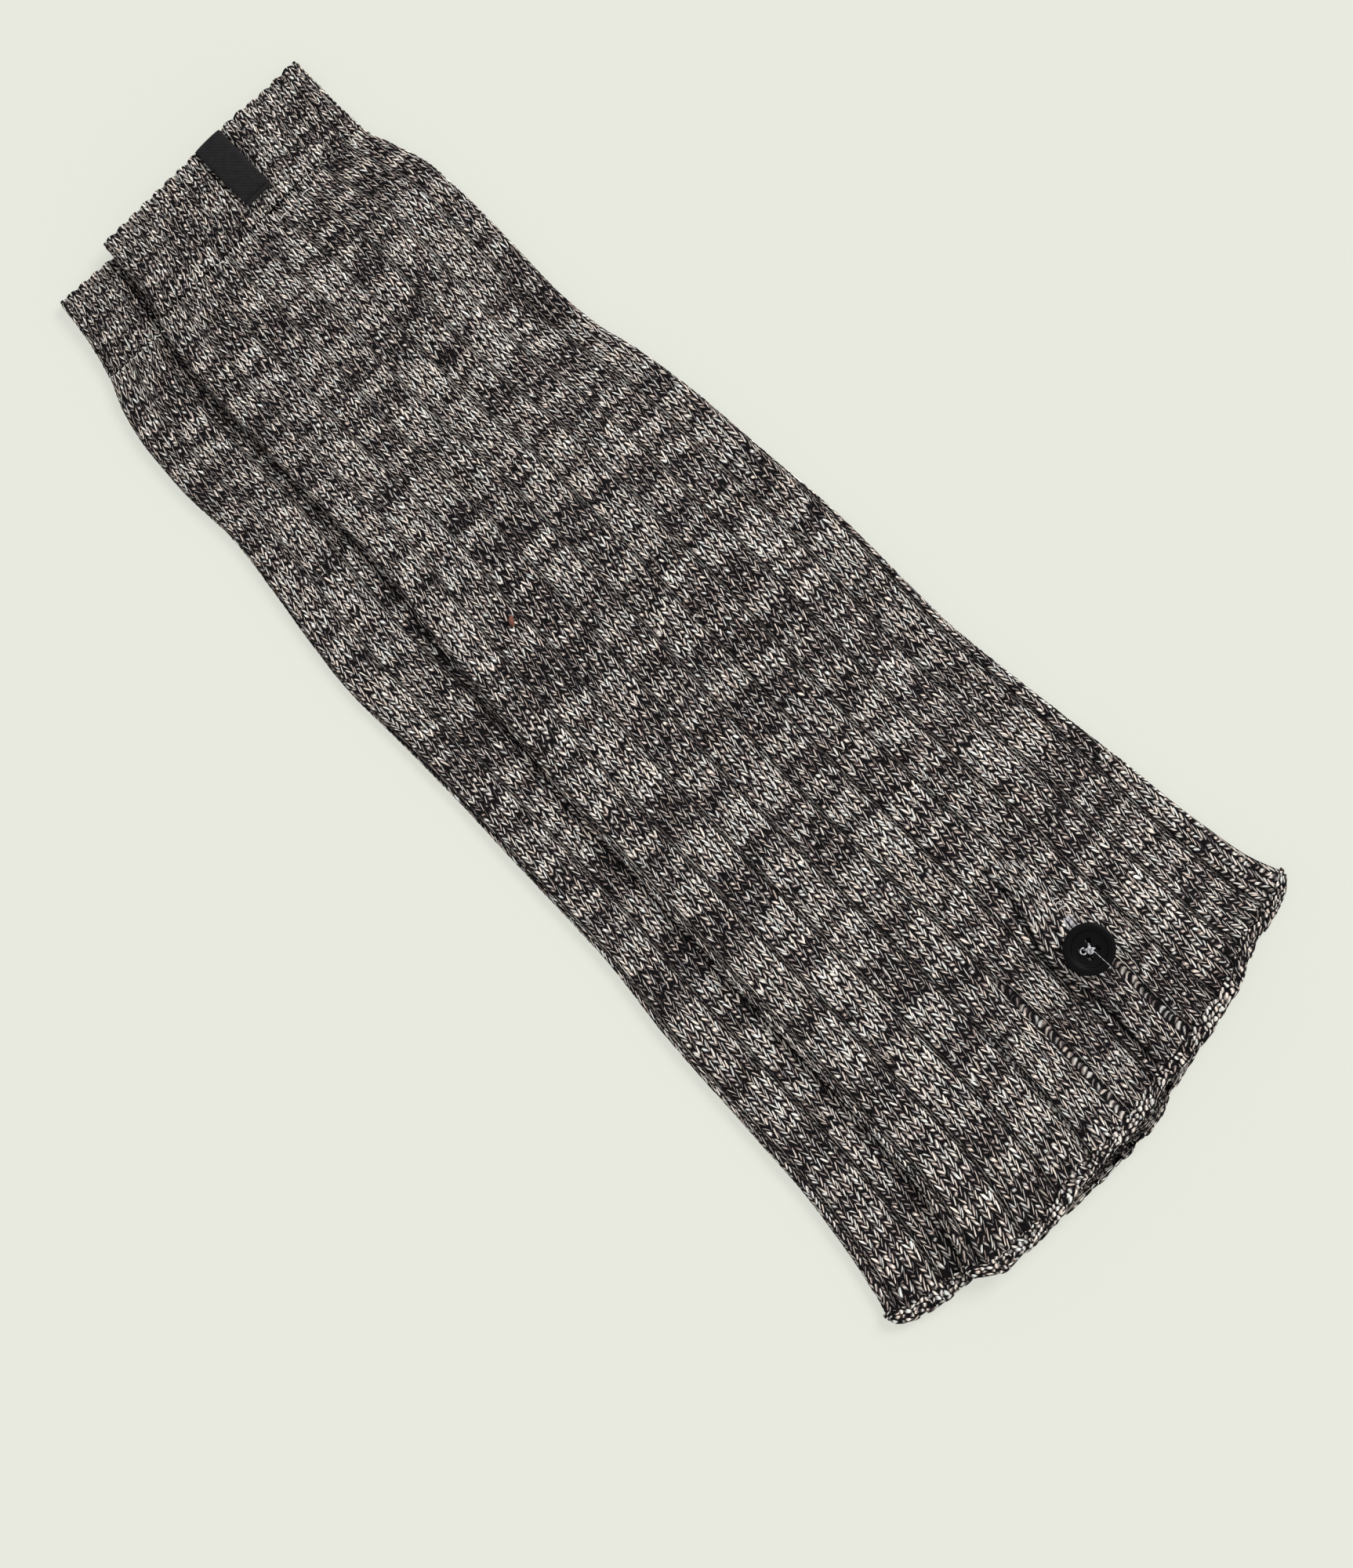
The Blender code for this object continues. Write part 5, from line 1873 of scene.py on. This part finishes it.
@dataclass
class BareLabel:
    """A woven label with nothing on it, folded over the cuff's edge and stitched down."""

    lay: Lay
    centre: float = 13.2
    width: float = 11.2
    wall: float = 0.5
    low: float = 203.8
    inside: float = 219.0
    gap: float = 0.55
    columns: int = 16
    seam: float = 1.9  # from the low end to the row of stitches
    stitches: int = 6
    stitch_radius: float = 0.14

    def path(self) -> Array:
        """The middle line as y and z: up the outer face, over the edge and down inside."""
        edge = self.lay.rows[0].edges.left_y
        top = float(self.lay.front_height(self.centre, edge))
        outer_y = np.linspace(self.low, edge - 1.0, 40)
        outer_z = self.lay.front_height(self.centre, outer_y) + self.gap + 0.5 * self.wall
        share = (outer_y - self.low) / (edge - self.low)
        outer_z = outer_z + 0.5 * np.sin(math.pi * share) ** 2 - 0.35 * (1.0 - share) ** 8
        turn = np.linspace(0.0, math.pi, 13)
        mid_z = 0.5 * (outer_z[-1] + top - self.lay.wall - 0.5)
        round_y = edge - 0.3 + 1.2 * np.sin(turn)
        round_z = mid_z + (outer_z[-1] - mid_z) * np.cos(turn)
        inner_y = np.linspace(edge - 1.0, self.inside, 8)
        inner_z = np.full(8, round_z[-1])
        y = np.concatenate((outer_y, round_y, inner_y))
        return np.stack((y, np.concatenate((outer_z, round_z, inner_z))), axis=-1)

    def make(self, name: str, material: Material) -> Object:
        """Build the tape as a closed strip along its middle line.

        Its face bows a little across its width, and its selvedges are thicker.
        """
        path = self.path()
        direction, run = unit(np.gradient(path, axis=0)), distances(path)
        normal = np.stack((-direction[:, 1], direction[:, 0]), axis=-1)
        side = np.linspace(-1.0, 1.0, self.columns + 1)
        half = 0.5 * self.wall * (1.0 - 0.45 * np.abs(side) ** 8)
        narrow = 1.0 - 0.06 * np.exp(-run / 6.0)
        x = self.centre + 0.5 * self.width * side[None, :] * narrow[:, None]
        bow = 0.22 * (1.0 - side ** 2)[None, :] * ease(run / 4.0)[:, None]
        seam = 0.22 * np.exp(-((run - self.seam) / 0.35) ** 2)[:, None]
        faces = []
        for sign in (1.0, -1.0):
            away = sign * half[None, :] + bow - seam
            y = path[:, :1] + normal[:, :1] * away
            z = path[:, 1:] + normal[:, 1:] * away
            faces.append(np.stack((x, y, z), axis=-1))
        surface = Surface()
        front, back = surface.add_points(faces[0]), surface.add_points(faces[1])
        place = flat_sheet(0.5 * self.width * side, run)
        share = flat_sheet(0.45 * (side + 1.0) / 2.0, run / run[-1])
        surface.add_grid(front, place, share, turned=True)
        surface.add_grid(back, place, share + np.array([0.5, 0.0]))
        for strip, turned in edge_strips(front, back, False):
            flat = flat_sheet(steps(strip.shape[1]), np.array([0.0, 0.01]))
            surface.add_grid(strip, flat, 0.02 * flat + 0.97, turned)
        self.add_stitches(surface, path, normal, run)
        return surface.make(name, material)

    def add_stitches(self, surface: Surface, path: Array, normal: Array, run: Array) -> None:
        """A row of lockstitches across the label's low end: short dipping tubes."""
        at = int(np.argmin(np.abs(run - self.seam)))
        wide = self.width - 1.6
        pitch = wide / self.stitches
        share = np.linspace(-1.0, 1.0, 9)
        rise = 0.5 * self.wall + 0.12 - 0.25 * share ** 4
        y = path[at, 0] + normal[at, 0] * rise
        z = path[at, 1] + normal[at, 1] * rise
        for number in range(self.stitches):
            middle = self.centre - 0.5 * wide + (number + 0.5) * pitch
            x = middle + 0.42 * pitch * share
            add_tube(surface, np.stack((x, y, z), axis=-1), self.stitch_radius, 6)


class Route(NamedTuple):
    """A loose strand's start, end and bow to its left."""

    start_x: float
    start_y: float
    end_x: float
    end_y: float
    bow: float


LOOSE_LOOPS = (
    Route(-13.4, 194.9, -12.2, 197.2, 0.2),
    Route(-12.2, 197.2, -10.3, 195.1, 0.3),
    Route(12.4, 193.2, 16.0, 193.4, 0.4),
    Route(22.9, 193.9, 27.0, 193.7, 0.5),
    Route(17.6, 0.2, 19.6, 1.5, 0.6),
    Route(17.8, 1.5, 19.5, 0.1, 0.5),
    Route(36.6, -150.8, 39.8, -151.6, 0.4),
    Route(36.8, -152.6, 39.9, -153.1, 0.5),
    Route(36.8, -154.4, 39.6, -155.2, 0.4),
)
BUTTONHOLE_BARS = tuple(
    Route(
        34.8 + 0.45 * k, -157.4 - 0.25 * (k % 3), 33.9 + 0.5 * k, -163.4 - 0.2 * (k % 2),
        0.3 - 0.2 * (k % 4),
    )
    for k in range(9)
)
LEAF_SPECK = (Route(-26.9, 41.7, -25.3, 44.3, 0.3),)


@dataclass
class Strands:
    """Loose strands of yarn lying on the knit, each a short arched tube that tapers."""

    lay: Lay
    routes: tuple[Route, ...]
    lift: float
    radius: float

    def make(self, name: str, material: Material) -> Object:
        """Build the strands as one mesh: each bows in a half wave, aside and upwards."""
        surface = Surface()
        share = steps(15)
        for x0, y0, x1, y1, bow in self.routes:
            side = unit(np.array([y0 - y1, x1 - x0]))
            bend = bow * np.sin(math.pi * share)
            x = x0 + share * (x1 - x0) + bend * side[0]
            y = y0 + share * (y1 - y0) + bend * side[1]
            arch = np.sin(math.pi * share) ** 0.6
            z = self.lay.front_height(x, y) + self.lift + self.radius * (1.3 * arch - 0.9)
            taper = self.radius * (0.55 + 0.45 * arch)
            add_tube(surface, np.stack((x, y, z), axis=-1), taper, 7)
        return surface.make(name, material)


# ---- The pair, put together ----

CUFF_WALES = (-2, 66)  # from the first wale round the cuff to the last
HEM_WALES = (-2, 93)  # and round the hem
GROOVE_SHIFTS = (0.0, 0.0, 0.0, 0.0, 0.0, -0.012, -0.002, -0.016, -0.017, -0.03, -0.03)


def place_piece(piece: Object, slot: str, *nodes: str) -> None:
    """Fix a piece to the part's one body, and say which nodes it stands for."""
    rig.ride(piece, "root")
    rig.replaces(piece, *nodes)
    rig.slot(piece, slot)


@dataclass
class LegWarmer:
    """One leg warmer: its cuff, its body in bands of courses, and its bound-off hem."""

    prefix: str
    lay: Lay
    fine_wales: tuple[int, int]
    bands: int
    per_course: int
    slot: str
    rests_on: tuple[str, ...] = ()
    cuff_groove: float = 0.008
    seed: int = 1
    courses: int = 192
    cuff_courses: int = 16

    def __post_init__(self) -> None:
        """Set out the body's wide ribs and the cuff's narrow ones."""
        last = len(self.lay.rows) - 1.0
        self.body = Ribbing(
            self.lay, 2.0, last, self.courses, per_rib=5, ribs=19.0, first_rib=-0.4, last_rib=9.6,
            stretch=1.17, shifts=GROOVE_SHIFTS, squeeze=0.5,
        )
        self.cuff = Ribbing(
            self.lay, 0.0, 2.0, self.cuff_courses, per_rib=2, ribs=34.0, first_rib=-1.0, last_rib=17.0,
            groove=self.cuff_groove, pitch=0.0607, groove_gap=0.5,
        )
        self.end = Ribbing(
            self.lay, last - 0.01, last, 2, per_rib=1, ribs=95.0, first_rib=-2.0, last_rib=48.0,
            groove=float(self.body.share(np.array([last]), np.array([0.0]))[0]),
            pitch=self.lay.rows[-1].form.pitch / 5.0,
        )

    def flat_size(self, first: float, last: float, ribbing: Ribbing) -> tuple[float, float]:
        """Cut size of a stretch of tube, in metres: the way round its middle, and its length."""
        v = ribbing.row_at(np.array([first, 0.5 * (first + last), last]))
        y = self.lay.line_y(v, np.full(3, 0.5))
        return float(self.lay.around(v)[1]) * MM, float(y[0] - y[2]) * MM

    def make(self, material: Material, rib_material: Material) -> None:
        """Build the pieces, and declare each as a sheet of cloth laid flat.

        Args:
            material: The body's finish.
            rib_material: The finish of the cuff and the hem.
        """
        form = StitchForm(
            leg=0.6, rib_depth=0.35, top_depth=1.0, crown=0.15, dark=0.35, scallop=0.9, shear=0.9
        )
        cuff = KnitRing(
            self.cuff, form, 0, self.cuff_courses, *CUFF_WALES, rim=True, seed=self.seed + 10
        ).make(self.prefix + "_cuff_knit", rib_material)
        place_piece(cuff, self.slot, self.prefix + "_cuff")
        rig.sheet(
            cuff, flat=self.flat_size(0, self.cuff_courses, self.cuff), held="laid", rests_on=self.rests_on
        )
        hem = BoundHem(
            self.end, StitchForm(), 0, 2, *HEM_WALES, per_course=6, seed=self.seed + 20
        ).make(self.prefix + "_hem_knit", rib_material)
        place_piece(hem, self.slot, self.prefix + "_hem")
        edges = np.linspace(0, self.courses, self.bands + 1).astype(int)
        for number, (first, last) in enumerate(zip(edges[:-1], edges[1:]), 1):
            band = KnitRing(
                self.body, StitchForm(pits=1.0), int(first), int(last), *self.fine_wales,
                per_course=self.per_course, seed=self.seed,
            ).make(f"{self.prefix}_body_knit_{number}", material)
            place_piece(band, self.slot, self.prefix + "_tube")
            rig.sheet(
                band, flat=self.flat_size(first, last, self.body), held="laid", rests_on=self.rests_on,
                with_pieces=[hem] if number == self.bands else [],
            )


@dataclass
class Studio:
    """A pale floor, one broad soft light from the right side, even fill, and the camera above.

    Fill and key are what a white sheet on the floor gets from each. Together they are
    more than 1, and the floor's own colour is set down by as much.
    """

    look_at: tuple[float, float] = (-25.0, -34.6)
    frame_height: float = 526.3
    lens: float = 100.0
    sensor: float = 36.0
    turn: float = -44.40
    subject_height: float = 7.0
    floor_half: float = 3.0  # half the floor's side, in metres
    floor_gap: float = 0.2  # between it and the pair
    fill: float = 0.74
    key: float = 0.54
    key_height: float = 42.0  # of the key over the floor, in degrees
    key_side: float = 8.0  # from +X towards +Y, in degrees
    key_spread: float = 28.0  # its width as seen from the floor, in degrees

    def make(self) -> None:
        """Put the floor, the lights and the camera in place."""
        self.add_floor()
        self.add_key()
        self.add_fill()
        self.add_camera()
        bpy.context.scene.view_settings.view_transform = "Standard"

    def add_floor(self) -> None:
        """Add the floor, a square just under the pair."""
        half, low = self.floor_half, -self.floor_gap * MM
        mesh = bpy.data.meshes.new("floor")
        corners = ((-half, -half, low), (half, -half, low), (half, half, low), (-half, half, low))
        mesh.from_pydata(corners, [], [(0, 1, 2, 3)])
        mesh.materials.append(PaperSweep(light=self.fill + self.key).make("pale_paper_sweep"))
        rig.stage(new_object("floor", mesh))

    def add_fill(self) -> None:
        """Light the pair evenly from the whole sky."""
        world = bpy.data.worlds.new("soft_fill")
        world.use_nodes = True
        inputs = {"Color": (1.0, 1.0, 1.0, 1.0), "Strength": self.fill}
        set_inputs(world.node_tree.nodes["Background"], inputs)
        bpy.context.scene.world = world

    def add_camera(self) -> None:
        """Look straight down from where the frame is as tall as it should be."""
        data = bpy.data.cameras.new("camera")
        data.lens, data.sensor_width = self.lens, self.sensor
        camera = new_object("camera", data)
        distance = self.frame_height * self.lens / self.sensor + self.subject_height
        camera.location = (self.look_at[0] * MM, self.look_at[1] * MM, distance * MM)
        camera.rotation_euler = (0.0, 0.0, math.radians(self.turn))
        bpy.context.scene.camera = camera

    def add_key(self) -> None:
        """Add the key, so far away that it lights both ends of the pair alike."""
        data = bpy.data.lights.new("key", "SUN")
        data.angle = math.radians(self.key_spread)
        data.energy = self.key * math.pi / math.sin(math.radians(self.key_height))
        light = new_object("key", data)
        tip = math.radians(90.0 - self.key_height)
        light.rotation_euler = (0.0, tip, math.radians(self.key_side))
        light.location = (1.0, 0.1, 1.0)


def lower_lay() -> Lay:
    """The lower leg warmer's lay: a dent and a painted shadow where the upper one's left edge lies on it."""
    edges = TOP_EDGES[::-1]
    at_y, at_x = [row.left_y for row in edges], [row.left_x for row in edges]
    # Painted shadow beside the upper one's left edge: a dark line in the crack, and a broad faint shade.
    crack = tuple(
        SlitPoint(row.left_x + 0.7, row.left_y, float(np.interp(row.left_y, (30.0, 120.0), (0.0, 0.55))))
        for row in TOP_EDGES
    )
    shadow = tuple(
        Tint(float(np.interp(y, at_y, at_x)) - 1.5, float(y), 9.0, 3.5, -0.04)
        for y in range(-200, 100, 12)
    )
    return Lay(UNDER_ROWS, UNDER_HEM, slit=crack, slit_width=2.2, tints=shadow)


def upper_lay() -> Lay:
    """The upper leg warmer's lay, with a trough, dark spots, holes, a slit and open grooves."""
    spots = ((20.8, 122.2), (-13.4, 80.1), (-6.8, 61.7), (-26.6, 15.7))
    return Lay(
        TOP_ROWS, TOP_HEM, UNDER_ROWS,
        dents=(Dent(50.0, 110.0, 52.0, 4.0, 1.1, -10.3),),
        tints=tuple(Tint(x, y, 4.0, 4.0, -0.25) for x, y in spots),
        # Holes and the slit are lowered, and darkened with painted shade where shadow falls in them.
        pits=(Pit(-14.7, 194.6, 1.3, 2.2), Pit(37.9, 194.6, 1.3, 2.2), Pit(28.3, -128.0, 1.6, 1.7)),
        slit=(
            SlitPoint(28.3, -127.0, 0.8), SlitPoint(28.3, -137.2, 0.5), SlitPoint(26.0, -148.8, 0.7),
            SlitPoint(22.9, -158.6, 0.9), SlitPoint(21.5, -166.0, 0.6), SlitPoint(22.9, -175.7, 0.4),
            SlitPoint(24.7, -181.7, 0.4), SlitPoint(25.2, -190.7, 0.5), SlitPoint(24.7, -202.3, 0.5),
            SlitPoint(24.2, -210.6, 0.4),
        ),
        open_grooves=(
            OpenGroove(3, -158.0, -230.0, 1.6, 10.0),
            OpenGroove(4, -150.0, -230.0, 3.6, 14.0),
            OpenGroove(6, -174.0, -230.0, 3.6, 6.0),
        ),
    )


def main() -> None:
    """Build the pair, its trims and the studio."""
    logging.basicConfig(level=logging.INFO, format="%(message)s")
    Studio().make()
    marl_top = MarlKnit().make("marl_yarn_knit_top")
    # The lower leg warmer's yarn is set darker than the upper one's: painted shade, for the shade it lies in.
    marl_under = MarlKnit(base=0.374).make("marl_yarn_knit_under")
    rib_top = MarlKnit(base=0.42, wander=0.8).make("marl_yarn_rib_top")
    rib_under = MarlKnit(base=0.40, wander=0.8).make("marl_yarn_rib_under")
    loose_yarn = SpunThread("#cfcac4", "#8d8680").make("loose_pale_ply")
    leaf = DryLeaf().make("dry_leaf_speck")
    polyester = PressedPlastic().make("black_polyester_button")
    grey_thread = SpunThread("#c9c8cb", "#77767c").make("grey_spun_thread")
    tape = WovenTape().make("black_woven_tape")

    under, top = lower_lay(), upper_lay()
    LegWarmer("under", under, (-2, 17), 2, 3, "marl_knit_under", cuff_groove=0.03, seed=100).make(
        marl_under, rib_under
    )
    LegWarmer(
        "top", top, (-2, 48), 4, 4, "marl_knit_top", ("under_body_knit_1", "floor"), seed=200
    ).make(marl_top, rib_top)

    flap = PlacketFlap(top, StitchForm()).make("placket_flap_knit", marl_top)
    place_piece(flap, "marl_knit_top", "placket_flap")
    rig.sheet(flap, flat=(0.0155, 0.086), held="laid", rests_on=["top_body_knit_4"])

    low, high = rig.box("button")
    middle = (0.5 * (low.x + high.x) / MM, 0.5 * (low.y + high.y) / MM)
    button = Button(middle, low.z / MM)
    place_piece(button.make("turned_button", polyester), "black_button", "button")
    thread = ButtonThread(button).make("knotted_thread", grey_thread)
    place_piece(thread, "grey_thread", "button_thread")

    for name, routes, lift, radius, finish, slot in (
        ("loose_yarn_loops", LOOSE_LOOPS, 0.35, 0.24, loose_yarn, "marl_knit_top"),
        ("buttonhole_strands", BUTTONHOLE_BARS, 1.3, 0.22, grey_thread, "grey_thread"),
        ("dry_leaf_speck", LEAF_SPECK, 0.3, 1.0, leaf, "marl_knit_top"),
    ):
        place_piece(Strands(top, routes, lift, radius).make(name, finish), slot)

    label = BareLabel(top).make("bare_woven_label", tape)
    place_piece(label, "black_woven_label", "label")
    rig.sheet(label, flat=(0.0112, 0.0345), held="folded", rests_on=["top_cuff_knit"])


if __name__ == "__main__":
    main()
    sizes = {"cad": [list(corner) for corner in CAD_BOX], "visual": [list(corner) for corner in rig.bounds()]}
    with open("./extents.json", "w") as handle:
        json.dump(sizes, handle)
